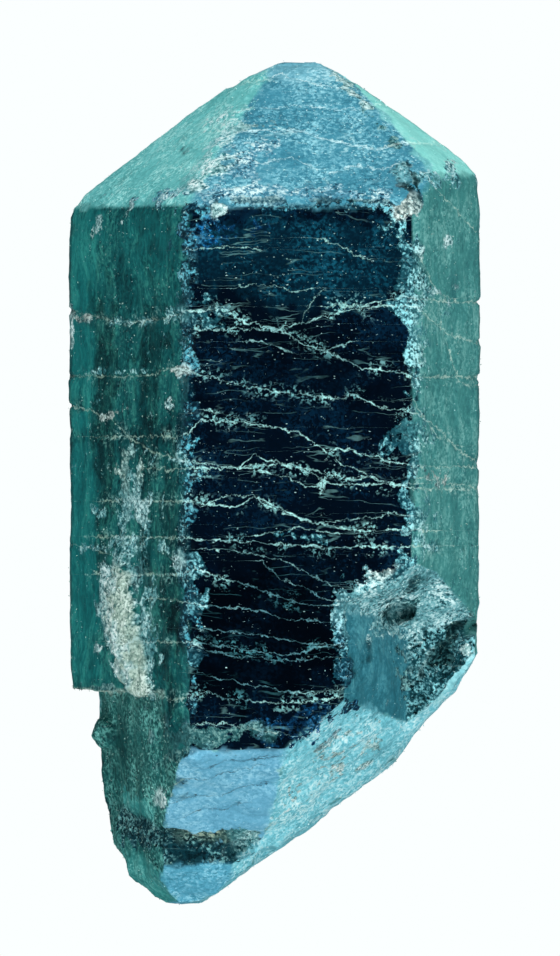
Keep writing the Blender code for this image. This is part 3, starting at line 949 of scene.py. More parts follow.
@dataclass(frozen=True)
class ApatiteFinish:
    """Apatite: a vitreous phosphate mineral, grown in faces and broken in flakes.

    Grown faces are smooth, so they gleam and show the dark inside. Bruised, frosted and broken ones
    scatter light from countless tiny cracks, which makes them pale and matt. The tones come with the
    mesh, one set a point; this finish adds the pattern that is finer than the mesh.

    Attributes:
        name: the material's name.
        refraction: apatite's refractive index.
        gloss: how strongly it mirrors, less than clean glass, because fine wear dulls it.
        gloss_colour: the tint of what it mirrors.
        speck_and_glint_colour: the colour of its pale flecks and painted glints.
        flake_colour: what tints the flakes beside a crack.
        warp: the pattern that keeps all others from running straight.
        warp_reach: how far it moves them.
        chips: the pattern of the chipped edges between a facet and a patch.
        chip_edge: how soft a chip's own edge is.
        grains: the grains of crumbled ground.
        flake: the width of its flakes.
        flake_share: how much the flakes count against the grains.
        clouds: the slow change of shade over every face.
        zones: the zones where the ground is more broken than elsewhere.
        sway: the slow bend of the striations.
        sway_reach: how far they bend.
        striation_width: the width of one striation.
        striation_length: its length.
        broad_ribs: the scale of the broad striations against the fine ones.
        speck_and_glint_spacing: how far apart the flecks and painted glints lie.
        splinter_size: the width of the jagged ones.
        crack_wander: the wander of each crack's line.
        crack_reach: how far the line wanders.
        swell: how a crack's line swells and thins out.
        vein_width: half the width of its widest part.
        halo_width: how far from a crack its flakes lie.
        clusters: where along a crack the flakes lie.
        hairlines: where the network of hairlines shows.
        hairline_spread: how far its lines reach along X, Y and Z.
        threads: where the painted highlights along the striations show.
        thread_spread: how far the threads reach along X, Y and Z.
        line_width: how wide the hairlines and threads are, as a part of their pattern's range.
        bump_height: the height of its finest relief.
    """

    name: str = "apatite"
    refraction: float = 1.634
    gloss: float = 0.22
    gloss_colour: str = "#bfeeff"
    speck_and_glint_colour: str = "#d8f8f8"
    flake_colour: str = "#2f8a94"
    warp: Grain = Grain(1.6)
    warp_reach: float = 0.7
    chips: Grain = Grain(0.5, 4.0, 0.7, 0.30, 0.70)
    chip_edge: float = 0.1
    grains: Grain = Grain(0.36, 3.5, 0.72, 0.34, 0.66)
    flake: float = 0.17
    flake_share: float = 0.24
    clouds: Grain = Grain(4.5)
    zones: Grain = Grain(2.4, 4.0, 0.5, 0.36, 0.64)
    sway: Grain = Grain(5.0, 2.0)
    sway_reach: float = 4.0
    striation_width: float = 0.30
    striation_length: float = 9.0
    broad_ribs: float = 0.22
    speck_and_glint_spacing: float = 0.30
    splinter_size: float = 0.35
    crack_wander: Grain = Grain(0.55, 4.0, 0.65)
    crack_reach: float = 0.9
    swell: Grain = Grain(0.9, 4.0, 0.65, 0.40, 0.68)
    vein_width: float = 0.095
    halo_width: float = 0.8
    clusters: Grain = Grain(1.9, 3.0, 0.5, 0.50, 0.60)
    hairlines: Grain = Grain(2.0, 4.0, 0.5, 0.46, 0.66)
    hairline_spread: tuple[float, float, float] = (9.0, 1.0, 9.0)
    threads: Grain = Grain(2.6, 4.0, 0.5, 0.46, 0.70)
    thread_spread: tuple[float, float, float] = (1.8, 14.0, 1.8)
    line_width: float = 0.012
    bump_height: float = 0.11

    def build(self, groups: int) -> bpy.types.Material:
        """Builds the material.

        Args:
            groups: how many sets of three fracture distances the mesh holds.

        Returns:
            The material.
        """
        material = bpy.data.materials.new(self.name)
        w = Wiring(material)
        metres = w.add("TexCoord").outputs["Object"]
        exact = w.add("VectorMath", {0: metres, "Scale": 1 / MM}, operation="SCALE")
        shift = self.warp.shift(w, exact, self.warp_reach)
        place = w.add("VectorMath", {0: exact, 1: shift}, operation="ADD")
        tones = self._tones(w, exact)
        amounts = tuple(w.add("SeparateXYZ", {0: tones["amounts"]}).outputs)
        _, streak, fleck_and_glint = amounts
        crumbs = self._crumbs(w, exact)
        streaks = self._streaks(w, place)
        zones = self.zones.spread(w, place)
        shade = self._shade(w, place, (crumbs, streaks, zones), amounts)
        # Pale flecks, partly painted glints
        specks_and_glints = self._specks_and_glints(w, exact, zones, fleck_and_glint)
        near = self._nearest(w, place, groups)
        veins, halo = self._veins(w, place, near, crumbs, streak)
        threads = self._threads(w, place, streak)
        flakes = w.add(
            "Mix", {0: 0.45, "A": tones["vein"], "B": (*linear(self.flake_colour), 1)}, data_type="RGBA"
        )
        colour = self._ground(w, shade, tones)
        for cover, paint in (
            (specks_and_glints, (*linear(self.speck_and_glint_colour), 1)),
            (threads, tones["light"]),
            (halo, flakes),
            (veins, tones["vein"]),
        ):
            colour = w.add("Mix", {0: cover, "A": colour, "B": paint}, data_type="RGBA")
        height = self._height(w, crumbs, streaks, amounts, veins, specks_and_glints)
        self._surface(w, colour, height, tones["rough"], veins)
        return material

    def _tones(self, w: Wiring, place: Node) -> dict[str, Node]:
        """Chooses at each spot between the facet's tone and that of the patch over it, with chipped edges."""
        cover = w.add("Attribute", attribute_name="cover", attribute_type="GEOMETRY").outputs["Fac"]
        # A full cover leaves no spot bare, and no cover leaves them all bare
        raised = w.add(
            "Math", {0: cover, 1: 1 + 2 * self.chip_edge, 2: -self.chip_edge}, operation="MULTIPLY_ADD"
        )
        lead = w.add("Math", {0: raised, 1: self.chips.spread(w, place)}, operation="SUBTRACT")
        share = w.add("MapRange", {0: lead, 1: -self.chip_edge, 2: self.chip_edge})
        tones = {}
        for name in (*TONE_COLUMNS, "rough"):
            both = [
                w.add("Attribute", attribute_name=prefix + name, attribute_type="GEOMETRY")
                for prefix in ("", "over_")
            ]
            base, over = (node.outputs["Fac" if name == "rough" else "Vector"] for node in both)
            tones[name] = w.add("Mix", {0: share, "A": base, "B": over}, data_type="RGBA")
        return tones

    def _crumbs(self, w: Wiring, place: Node) -> Node:
        """Makes the pattern of flakes and crumbs: angular patches with grains on them."""
        grains = self.grains.noise(w, place)
        flakes = w.add("TexVoronoi", {"Vector": place, "Scale": 1 / self.flake})
        flat = w.add("SeparateColor", {0: flakes.outputs["Color"]})
        both = w.add("Mix", {0: self.flake_share, "A": grains.outputs[0], "B": flat}, data_type="FLOAT")
        return w.add("MapRange", {0: both, 1: self.grains.low, 2: self.grains.high})

    def _streaks(self, w: Wiring, place: Node) -> Node:
        """Makes the striations: long narrow bands along the crystal."""
        sway = self.sway.shift(w, place, self.sway_reach)
        swayed = w.add("VectorMath", {0: place, 1: sway}, operation="ADD")
        squeeze = (1 / self.striation_width, 1 / self.striation_length, 1 / self.striation_width)
        narrow = w.add("VectorMath", {0: swayed, 1: squeeze}, operation="MULTIPLY")
        fine = w.add("TexNoise", {"Vector": narrow, "Scale": 1.0, "Detail": 3.0, "Roughness": 0.6})
        broad = w.add("TexNoise", {"Vector": narrow, "Scale": self.broad_ribs, "Detail": 2.0})
        both = w.add("Mix", {0: 0.45, "A": fine.outputs[0], "B": broad.outputs[0]}, data_type="FLOAT")
        return w.add("MapRange", {0: both, 1: 0.32, 2: 0.68})

    def _shade(self, w: Wiring, place: Node, patterns: Sequence[Node], amounts: Sequence[Socket]) -> Node:
        """Sums the patterns into one shade.

        Args:
            w: the material's nodes.
            place: the place on the crystal.
            patterns: the crumbs, the striations and the zones.
            amounts: how crumbled and striated each spot is, and how many flecks and painted glints it has.

        Returns:
            The shade, from dark (0) to light (1).
        """
        crumbs, streaks, zones = patterns
        crumble, streak, _ = amounts
        cloud = self.clouds.noise(w, place).outputs[0]
        shade = w.add("Math", {0: cloud, 1: 0.7, 2: 0.15}, operation="MULTIPLY_ADD")
        weight = w.add("Math", {0: zones, 1: 0.9, 2: 0.55}, operation="MULTIPLY_ADD")
        broken = w.add("Math", {0: crumble, 1: weight}, operation="MULTIPLY")
        paler = w.add("Math", {0: crumble, 1: 0.25}, operation="MULTIPLY")
        for pattern, amount in ((crumbs, broken), (zones, paler), (streaks, streak)):
            centred = w.add("Math", {0: pattern, 1: 0.5}, operation="SUBTRACT")
            shade = w.add("Math", {0: centred, 1: amount, 2: shade}, operation="MULTIPLY_ADD")
        return shade

    def _ground(self, w: Wiring, shade: Node, tones: dict[str, Node]) -> Node:
        """Mixes the dark, mid and light tones by the shade."""
        lower = w.add("MapRange", {0: shade, 1: 0.0, 2: 0.5})
        upper = w.add("MapRange", {0: shade, 1: 0.5, 2: 1.05})
        base = w.add("Mix", {0: lower, "A": tones["dark"], "B": tones["mid"]}, data_type="RGBA")
        return w.add("Mix", {0: upper, "A": base, "B": tones["light"]}, data_type="RGBA")

    def _specks_and_glints(self, w: Wiring, place: Node, zones: Node, fleck_and_glint: Socket) -> Node:
        """Makes the pale flecks and painted glints: small jagged splinters and dots, more of them in the
        broken zones.
        """
        squeeze = (1 / self.speck_and_glint_spacing, 2 / self.speck_and_glint_spacing, 1 / self.speck_and_glint_spacing)
        flat = w.add("VectorMath", {0: place, 1: squeeze}, operation="MULTIPLY")
        cells = w.add("TexVoronoi", {"Vector": flat, "Scale": 1.0})
        draw, girth, shine = tuple(w.add("SeparateColor", {0: cells.outputs["Color"]}).outputs)
        weight = w.add("Math", {0: zones, 1: 1.0, 2: 0.25}, operation="MULTIPLY_ADD")
        share = w.add("Math", {0: fleck_and_glint, 1: weight}, operation="MULTIPLY")
        limit = w.add("Math", {0: share, 1: -0.3, 2: 1.0}, operation="MULTIPLY_ADD")
        chosen = w.add("Math", {0: draw, 1: limit}, operation="GREATER_THAN")
        size = w.add("Math", {0: girth, 1: 0.20, 2: 0.10}, operation="MULTIPLY_ADD")
        near = w.add("Math", {0: cells.outputs["Distance"], 1: size}, operation="DIVIDE")
        spot = w.add("MapRange", {0: near, 1: 1.0, 2: 0.6})
        # Each dot has its own brightness; the dots are partly pale flecks and partly painted glints
        bright = w.add("Math", {0: shine, 1: 0.9, 2: 0.1}, operation="MULTIPLY_ADD")
        lit = w.add("Math", {0: spot, 1: bright}, operation="MULTIPLY")
        dots = w.add("Math", {0: chosen, 1: lit}, operation="MULTIPLY")
        scale = self.speck_and_glint_spacing / self.splinter_size
        jagged = w.add("TexNoise", {"Vector": flat, "Scale": scale, "Detail": 5.0, "Roughness": 0.7})
        level = w.add("Math", {0: share, 1: 0.13, 2: jagged.outputs[0]}, operation="MULTIPLY_ADD")
        splinters = w.add("MapRange", {0: level, 1: 0.70, 2: 0.73})
        return w.add("Math", {0: dots, 1: splinters}, operation="MAXIMUM")

    def _nearest(self, w: Wiring, place: Node, groups: int) -> dict[Reach, Node]:
        """Finds the distance to the nearest fracture of each reach, with a wander of its own."""
        shift = self.crack_wander.shift(w, place, self.crack_reach)
        nearest: dict[Reach, Node] = {}
        strong = math.ceil(sum(f.reach is Reach.THROUGH for f in FRACTURES) / 3)
        for group in range(groups):
            signed = w.add("Attribute", attribute_name=f"fractures_{group}", attribute_type="GEOMETRY")
            moved = w.add("VectorMath", {0: signed.outputs["Vector"], 1: shift}, operation="ADD")
            away = w.add("VectorMath", {0: moved}, operation="ABSOLUTE")
            reach = Reach.THROUGH if group < strong else Reach.HAIR
            if reach in nearest:
                away = w.add("VectorMath", {0: nearest[reach], 1: away}, operation="MINIMUM")
            nearest[reach] = away
        for reach, vector in nearest.items():
            first, second, third = tuple(w.add("SeparateXYZ", {0: vector}).outputs)
            lesser = w.add("Math", {0: first, 1: second}, operation="MINIMUM")
            nearest[reach] = w.add("Math", {0: lesser, 1: third}, operation="MINIMUM")
        return nearest

    def _veins(
        self, w: Wiring, place: Node, near: dict[Reach, Node], crumbs: Node, streak: Socket
    ) -> tuple[Node, Node]:
        """Makes the healed cracks' own lines, and the flakes and hairlines that lie about them."""
        level = self.swell.spread(w, place)
        grit = w.add("MapRange", {0: crumbs, 1: -0.3, 2: 0.45})
        fade = w.add("Math", {0: level, 1: 0.6, 2: 0.4}, operation="MULTIPLY_ADD")
        lines = []
        for reach, width, strength in ((Reach.THROUGH, 1.0, 1.0), (Reach.HAIR, 0.75, 0.9)):
            widest = self.vein_width * width
            half = w.add("Math", {0: level, 1: widest, 2: widest * 0.25}, operation="MULTIPLY_ADD")
            share = w.add("Math", {0: near[reach], 1: half}, operation="DIVIDE")
            line = w.add("MapRange", {0: share, 1: 1.0, 2: 0.35})
            faded = w.add("Math", {0: line, 1: fade}, operation="MULTIPLY")
            gritty = w.add("Math", {0: grit, 1: strength}, operation="MULTIPLY")
            lines.append(w.add("Math", {0: faded, 1: gritty}, operation="MULTIPLY"))
        both = w.add("Math", {0: lines[0], 1: lines[1]}, operation="MAXIMUM")
        band = w.add("MapRange", {0: near[Reach.THROUGH], 1: self.halo_width, 2: 0.0})
        bright = w.add("MapRange", {0: crumbs, 1: 0.62, 2: 0.85})
        halo = w.add("Math", {0: band, 1: self.clusters.spread(w, place)}, operation="MULTIPLY")
        halo = w.add("Math", {0: halo, 1: bright}, operation="MULTIPLY")
        network = self._network(w, place, streak)
        return both, w.add("Math", {0: halo, 1: network}, operation="MAXIMUM")

    def _lines(self, w: Wiring, place: Node, spread: tuple[float, float, float]) -> Node:
        """Makes thin wandering lines, where a stretched noise crosses its middle.

        Args:
            w: the material's nodes.
            place: the place on the crystal.
            spread: how far the noise reaches along X, Y and Z; the lines run along the longest.

        Returns:
            The lines, from 0 to 1.
        """
        squeeze = tuple(1 / reach for reach in spread)
        flat = w.add("VectorMath", {0: place, 1: squeeze}, operation="MULTIPLY")
        noise = w.add("TexNoise", {"Vector": flat, "Scale": 1.0, "Detail": 2.0, "Roughness": 0.5})
        off = w.add("Math", {0: noise.outputs[0], 1: 0.5}, operation="SUBTRACT")
        away = w.add("Math", {0: off}, operation="ABSOLUTE")
        return w.add("MapRange", {0: away, 1: self.line_width, 2: self.line_width * 0.2})

    def _network(self, w: Wiring, place: Node, streak: Socket) -> Node:
        """Makes the faint network of hairline cracks between the larger ones, mostly level."""
        shown = self.hairlines.spread(w, place)
        plain = w.add("MapRange", {0: streak, 1: 0.5, 2: 0.1})
        faint = w.add("Math", {0: shown, 1: plain}, operation="MULTIPLY")
        faint = w.add("Math", {0: faint, 1: 0.3}, operation="MULTIPLY")
        return w.add("Math", {0: self._lines(w, place, self.hairline_spread), 1: faint}, operation="MULTIPLY")

    def _threads(self, w: Wiring, place: Node, streak: Socket) -> Node:
        """Makes the long thin lines along the crystal where striated faces catch the light."""
        lit = w.add("Math", {0: self.threads.spread(w, place), 1: streak}, operation="MULTIPLY")
        return w.add("Math", {0: self._lines(w, place, self.thread_spread), 1: lit}, operation="MULTIPLY")

    def _height(
        self, w: Wiring, crumbs: Node, streaks: Node, amounts: Sequence[Socket], veins: Node, specks_and_glints: Node
    ) -> Node:
        """Sums the fine relief: raised crumbs, striations and flecks, and sunken cracks."""
        crumble, streak, _ = amounts
        rugged = w.add("Math", {0: crumble, 1: 3.0}, operation="POWER")
        height = w.add("Math", {0: crumbs, 1: rugged}, operation="MULTIPLY")
        ribs = w.add("Math", {0: streaks, 1: streak}, operation="MULTIPLY")
        for relief, share in ((ribs, 0.35), (specks_and_glints, 0.3), (veins, -0.35)):
            height = w.add("Math", {0: relief, 1: share, 2: height}, operation="MULTIPLY_ADD")
        return height

    def _surface(self, w: Wiring, colour: Node, height: Node, rough: Node, veins: Node) -> None:
        """Joins colour, relief and roughness in the shader."""
        bump = w.add("Bump", {"Height": height, "Strength": 0.75, "Distance": self.bump_height * MM})
        worn = w.add("Math", {0: veins, 1: 0.3, 2: rough}, operation="MULTIPLY_ADD", use_clamp=True)
        shader = w.add(
            "BsdfPrincipled",
            {
                "Base Color": colour,
                "Roughness": worn,
                "IOR": self.refraction,
                "Specular IOR Level": self.gloss,
                "Specular Tint": (*linear(self.gloss_colour), 1),
                "Normal": bump,
            },
        )
        w.add("OutputMaterial", {"Surface": shader})


@dataclass
class Surface:
    """What the crystal's surface is like at each of its points, for what is scattered over it.

    Attributes:
        places: the points in millimetres.
        normals: the surface's outward directions.
        tones: one tone row a point.
        signed: each fracture's distance from each point.
        crust: how far the crust of matrix covers each point.
    """

    places: np.ndarray
    normals: np.ndarray
    tones: np.ndarray
    signed: np.ndarray
    crust: np.ndarray


@dataclass
class CrystalSkin:
    """The crystal's fine mesh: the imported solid, cut up finely, roughened and given its tones.

    Attributes:
        node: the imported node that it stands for.
        voxel: the spacing of its points where it is seen from above.
        coarse_back: the share of the faces that is kept once its back is coarsened.
        loosening: the relief that keeps flat faces from being thinned out more than the others.
        swell: the height of the slow waves in every face.
        swell_size: their width.
        striation: the height of the ribs along the sides.
        striation_size: how far a rib reaches along X, Y and Z.
        crumble_relief: the height of the crumbs on frosted and broken ground.
        crumb_size: their width.
        pit_size: the width of the pits between them.
        edge_band: how far the crumbled margin reaches in from the front face's edges.
        groove_width: half the width of a fracture's groove.
        wear_reach: how far from an edge its wear begins.
        wear_depth: how far the edge itself is worn back.
        corner_reach: how far from a corner its wear begins.
        corner_depth: how far the corner itself is worn back.
        rind_size: the width of the lumps in the crust's crumbled rind.
        rind_height: their height.
        rim_depth: how far the front face's bruised margin is sunk.
        block_steps: how far the block before each through-going fracture stands out from the next.
        form: the crystal's planes.
        crust: the crust of matrix.
        noise: the noise of the relief.
        ragged: the noise of the outlines.
        surface: what the surface is like at each of its points, once it is built.
    """

    node: str = "crystal"
    voxel: float = 0.205
    coarse_back: float = 0.66
    loosening: float = 0.05
    swell: float = 0.06
    swell_size: float = 7.0
    striation: float = 0.05
    striation_size: tuple[float, float, float] = (0.9, 16.0, 0.9)
    crumble_relief: float = 0.11
    crumb_size: float = 1.2
    pit_size: float = 0.8
    edge_band: float = 1.0
    groove_width: float = 0.15
    wear_reach: float = 1.0
    wear_depth: float = 0.04
    corner_reach: float = 2.0
    corner_depth: float = 0.15
    rind_size: float = 0.7
    rind_height: float = 0.12
    rim_depth: float = 0.05
    block_steps: tuple[float, ...] = (
        0.05, -0.03, 0.04, 0.0, -0.03, 0.02, -0.02, 0.03, 0.02, -0.03, -0.02, 0.02
    )
    form: CrystalForm = field(default_factory=CrystalForm)
    crust: Crust = field(default_factory=Crust)
    noise: NoiseField = field(default_factory=lambda: NoiseField(11))
    ragged: NoiseField = field(default_factory=lambda: NoiseField(29))
    surface: Optional[Surface] = None

    def build(self, finish: ApatiteFinish) -> bpy.types.Object:
        """Builds and dresses the mesh.

        Args:
            finish: the mineral's finish.

        Returns:
            The crystal's visible object.
        """
        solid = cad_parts[self.node]
        piece = self._remeshed(solid)
        mesh = piece.data
        places = self._points(mesh)
        places = self._settle(solid, places)
        normals = self._normals(mesh, places)
        survey = self.form.survey(places)
        margins = survey.margins
        roof = self._roof(places)
        signed = np.stack([f.signed(places, roof) for f in self._ordered()])
        base, overlay, covers = self._tones(places, margins)
        own, tones = overlay.over(base)
        places = self._relief(places, normals, survey, signed, tones, covers)
        mesh.vertices.foreach_set("co", (places * MM).astype(np.float32).ravel())
        self.surface = Surface(places, normals, tones, signed, covers["crust"])
        self._store_tones(mesh, base, "")
        self._store_tones(mesh, own, "over_")
        self._store_number(mesh, "cover", overlay.cover)
        self._store_fractures(mesh, signed)
        mesh.shade_smooth()
        mesh.materials.clear()
        mesh.materials.append(finish.build(self._groups()))
        mesh.update()
        return piece

    @staticmethod
    def _ordered() -> list[Fracture]:
        """Lists the fractures with those that run through first, padded to whole groups of three."""
        through = [f for f in FRACTURES if f.reach is Reach.THROUGH]
        hair = [f for f in FRACTURES if f.reach is Reach.HAIR]
        padded = []
        for kind in (through, hair):
            padded += kind + [kind[-1]] * (-len(kind) % 3)
        return padded

    def _groups(self) -> int:
        """Returns how many sets of three the fractures fill."""
        return len(self._ordered()) // 3

    def _remeshed(self, solid: bpy.types.Object) -> bpy.types.Object:
        """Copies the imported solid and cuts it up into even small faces."""
        mesh = solid.data.copy()
        mesh.name = "crystal_skin"
        piece = bpy.data.objects.new("crystal_skin", mesh)
        bpy.context.scene.collection.objects.link(piece)
        remesh = piece.modifiers.new("Remesh", "REMESH")
        remesh.mode = "VOXEL"
        remesh.voxel_size = self.voxel * MM
        self._apply(piece)
        places = self._points(piece.data)
        places += self.loosening * self.noise.layered(places, self.crumb_size, 2)[:, None]
        piece.data.vertices.foreach_set("co", (places * MM).astype(np.float32).ravel())
        back = piece.vertex_groups.new(name="back")
        for vertex in piece.data.vertices:
            if vertex.normal.z < -0.1:
                back.add([vertex.index], 1.0, "REPLACE")
        thin = piece.modifiers.new("Decimate", "DECIMATE")
        thin.ratio = self.coarse_back
        thin.vertex_group = back.name
        self._apply(piece)
        piece.vertex_groups.clear()
        return piece

    @staticmethod
    def _apply(piece: bpy.types.Object) -> None:
        """Applies the object's modifiers to its mesh."""
        graph = bpy.context.evaluated_depsgraph_get()
        made = bpy.data.meshes.new_from_object(piece.evaluated_get(graph), preserve_all_data_layers=True,
                                               depsgraph=graph)
        before = piece.data
        piece.modifiers.clear()
        piece.data = made
        bpy.data.meshes.remove(before)

    @staticmethod
    def _points(mesh: bpy.types.Mesh) -> np.ndarray:
        """Returns a mesh's points in millimetres, one a row."""
        flat = np.empty(len(mesh.vertices) * 3, dtype=np.float32)
        mesh.vertices.foreach_get("co", flat)
        return flat.reshape(-1, 3).astype(float) / MM

    @staticmethod
    def _settle(solid: bpy.types.Object, places: np.ndarray) -> np.ndarray:
        """Puts each point, in millimetres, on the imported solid's surface, so that flat faces are flat."""
        corners = [Vector(v.co) / MM for v in solid.data.vertices]
        tree = BVHTree.FromPolygons(corners, [tuple(p.vertices) for p in solid.data.polygons])
        return np.array([tree.find_nearest(place)[0] for place in places])

    @staticmethod
    def _normals(mesh: bpy.types.Mesh, places: np.ndarray) -> np.ndarray:
        """Puts the mesh's points at these places, and returns its outward directions there."""
        mesh.vertices.foreach_set("co", (places * MM).astype(np.float32).ravel())
        mesh.update()
        flat = np.empty(len(places) * 3, dtype=np.float32)
        mesh.vertex_normals.foreach_get("vector", flat)
        return flat.reshape(-1, 3).astype(float)

    def _roof(self, places: np.ndarray) -> np.ndarray:
        """Returns the height of the prism's front, left or right side over each place."""
        form = self.form
        left = form.depth + (places[:, 0] - form.front_left) * form.steepness
        right = form.depth - (places[:, 0] - form.front_right) * form.steepness
        return np.minimum(form.depth, np.minimum(left, right))

    def _tones(
        self, places: np.ndarray, margins: dict[Facet, np.ndarray]
    ) -> tuple[np.ndarray, Overlay, dict[str, np.ndarray]]:
        """Gives each point its facet's tone and that of the patches over it.

        Args:
            places: the points in millimetres.
            margins: how far inside each facet they lie.

        Returns:
            The facets' tones, one row a point, the patches, and the covers of what also has relief.
        """
        blur = self.ragged.layered(places, 1.1, 3)
        fine = self.ragged.layered(places, 0.55, 2)
        total = np.zeros(len(places))
        tones = np.zeros((len(places), 16))
        for facet, tone in FACET_TONES.items():
            share = ramp(margins[facet] + blur * 0.3, -0.1, 0.1) + 1e-6
            tones += share[:, None] * tone.row()
            total += share
        tones /= total[:, None]
        facing_up = ramp(self._surface_up(margins), -0.5, 0.5)
        for zone in ZONES:
            tones = self._blend(tones, zone.tone, zone.cover(places, blur) * facing_up)
        overlay = Overlay(np.zeros_like(tones), np.zeros(len(places)))
        covers: dict[str, np.ndarray] = {}
        rim = self._front_rim(places, margins[Facet.FRONT], blur)
        right_side = ramp(places[:, 0], 0.0, 4.0)
        overlay.lay(BRUISE_DEEP, rim * (1 - right_side) * 0.8)
        overlay.lay(BRUISE, rim * right_side)
        lift = np.zeros(len(places))
        for patch in PATCHES:
            cover = patch.cover(places, blur) * facing_up
            overlay.lay(patch.tone, cover)
            lift += patch.lift * cover
        body, rind, crust_left = self.crust.covers(places, blur)
        on_left = ramp(margins[Facet.LEFT], -1.2, -0.4) * facing_up
        scattered = rind * on_left * ramp(fine, -0.3, 0.5)
        overlay.lay(RIND, scattered)
        overlay.lay(MATRIX, body * on_left)
        overlay.lay(WHITE_CRUMB, body * on_left * ramp(fine + crust_left, 0.1, 0.7) * 0.8)
        covers["crust"] = body * on_left
        covers["rind"] = scattered
        covers["rim"] = rim
        covers["lift"] = lift
        return tones, overlay, covers

    @staticmethod
    def _surface_up(margins: dict[Facet, np.ndarray]) -> np.ndarray:
        """Returns a value above 0 on surfaces that are seen from above, and below 0 on the others."""
        under = (Facet.LEFT_BACK, Facet.BACK, Facet.RIGHT_BACK, Facet.POINT_LEFT_BACK, Facet.POINT_BACK,
                 Facet.POINT_RIGHT_BACK, Facet.TIP_BACK, Facet.TIP_LEFT_BACK, Facet.TIP_SLOPE_BACK,
                 Facet.TIP_SHOULDER)
        return -np.max(np.stack([margins[facet] for facet in under]), axis=0)

    def _front_rim(self, places: np.ndarray, margin: np.ndarray, blur: np.ndarray) -> np.ndarray:
        """Returns how bruised the margin of the front face is: full at its edges, in ragged bites."""
        bites = self.ragged.layered(places + 5.0, (2.5, 1.4, 2.5), 3)
        reach = self.edge_band * (1.0 + 0.9 * bites)
        inside = ramp(margin, reach, reach * 0.35) * ramp(margin, -0.9, -0.1)
        side = ramp(np.abs(places[:, 0] - 1.8), 5.0, 6.5)
        broken = ramp(self.ragged.layered(places - 7.0, 0.9, 2), -0.55, 0.25)
        return inside * (0.2 + 0.8 * side) * broken

    @staticmethod
    def _blend(tones: np.ndarray, tone: Tone, cover: np.ndarray) -> np.ndarray:
        """Lays a tone over others by its cover."""
        return tones + cover[:, None] * (tone.row() - tones)

    def _relief(
        self,
        places: np.ndarray,
        normals: np.ndarray,
        survey: Survey,
        signed: np.ndarray,
        tones: np.ndarray,
        covers: dict[str, np.ndarray],
    ) -> np.ndarray:
        """Moves the points along their normals to make the relief.

        Args:
            places: the points in millimetres.
            normals: the surface's normals there.
            survey: where they lie among the facets.
            signed: each fracture's distance from each point.
            tones: each point's tone.
            covers: the covers of the crust, the bruised rim and the raised patches.

        Returns:
            The moved points.
        """
        crumble, streak = tones[:, 12], tones[:, 13]
        height = self.noise.layered(places, self.swell_size, 3) * self.swell
        height += self.noise.layered(places, self.striation_size, 3) * self.striation * streak
        height += self.noise.layered(places, self.crumb_size, 4) * self.crumble_relief * crumble
        pitted = 0.5 - np.abs(self.noise.layered(places + 9.0, self.pit_size, 3))
        height += pitted * self.crumble_relief * crumble
        height -= ramp(survey.edge, self.wear_reach, 0.0) * self.wear_depth
        height -= ramp(survey.corner, self.corner_reach, 0.0) * self.corner_depth
        height += self._blocks(signed) + self._grooves(places, signed, survey.margins[Facet.FRONT])
        height += covers["lift"] * ramp(normals[:, 2], 0.1, 0.5) - covers["rim"] * self.rim_depth
        lumps = self.noise.layered(places, self.crust.grain, 3) * self.crust.grain_height
        height += covers["crust"] * (self.crust.lift + lumps)
        height += covers["rind"] * self.noise.layered(places + 3.0, self.rind_size, 2) * self.rind_height
        # The face that it rests on stays flat, and the relief fades out towards it
        resting = ramp(places[:, 2], 0.0, 0.8)
        moved = places + normals * (height * resting)[:, None]
        moved[:, 2] = np.maximum(moved[:, 2], 0.0)
        return moved

    def _blocks(self, signed: np.ndarray) -> np.ndarray:
        """Returns how far each block between through-going fractures stands out from its neighbours."""
        through = [row for row, f in enumerate(self._ordered()) if f.reach is Reach.THROUGH]
        offset = np.zeros(signed.shape[1])
        for row, step in zip(through, self.block_steps):
            offset += step * (ramp(signed[row], -0.15, 0.15) - 0.5)
        return offset

    def _grooves(self, places: np.ndarray, signed: np.ndarray, front: np.ndarray) -> np.ndarray:
        """Returns the depth of the grooves along the fractures.

        Args:
            places: the points in millimetres.
            signed: each fracture's distance from each point.
            front: how far inside the front face each point lies; the grooves are shallow there.

        Returns:
            Heights of 0 or less. The grooves deepen into nicks at the crystal's left and right corners.
        """
        offset = np.zeros(len(places))
        uneven = 0.6 + 0.8 * np.abs(self.noise.layered(places, 1.6, 2))
        uneven *= 1 - 0.7 * ramp(front, -0.3, 0.5) + 1.4 * ramp(np.abs(places[:, 0]), 13.2, 14.4)
        for row, fracture in enumerate(self._ordered()):
            profile = np.exp(-((signed[row] / self.groove_width) ** 2))
            offset = np.minimum(offset, -fracture.depth * uneven * profile)
        return offset

    @classmethod
    def _store_tones(cls, mesh: bpy.types.Mesh, tones: np.ndarray, prefix: str) -> None:
        """Keeps one set of tones with the mesh's points, under names with this prefix."""
        for column, name in enumerate(TONE_COLUMNS):
            layer = mesh.attributes.new(prefix + name, "FLOAT_VECTOR", "POINT")
            layer.data.foreach_set("vector", tones[:, column * 3:column * 3 + 3].astype(np.float32).ravel())
        cls._store_number(mesh, prefix + "rough", tones[:, 15])

    @staticmethod
    def _store_number(mesh: bpy.types.Mesh, name: str, values: np.ndarray) -> None:
        """Keeps one number a point with the mesh."""
        layer = mesh.attributes.new(name, "FLOAT", "POINT")
        layer.data.foreach_set("value", values.astype(np.float32))

    def _store_fractures(self, mesh: bpy.types.Mesh, signed: np.ndarray) -> None:
        """Keeps the distances to the fractures with the mesh's points, three in each set."""
        for group in range(self._groups()):
            layer = mesh.attributes.new(f"fractures_{group}", "FLOAT_VECTOR", "POINT")
            trio = np.clip(signed[group * 3:group * 3 + 3], -4.0, 4.0).T
            layer.data.foreach_set("vector", np.ascontiguousarray(trio, dtype=np.float32).ravel())


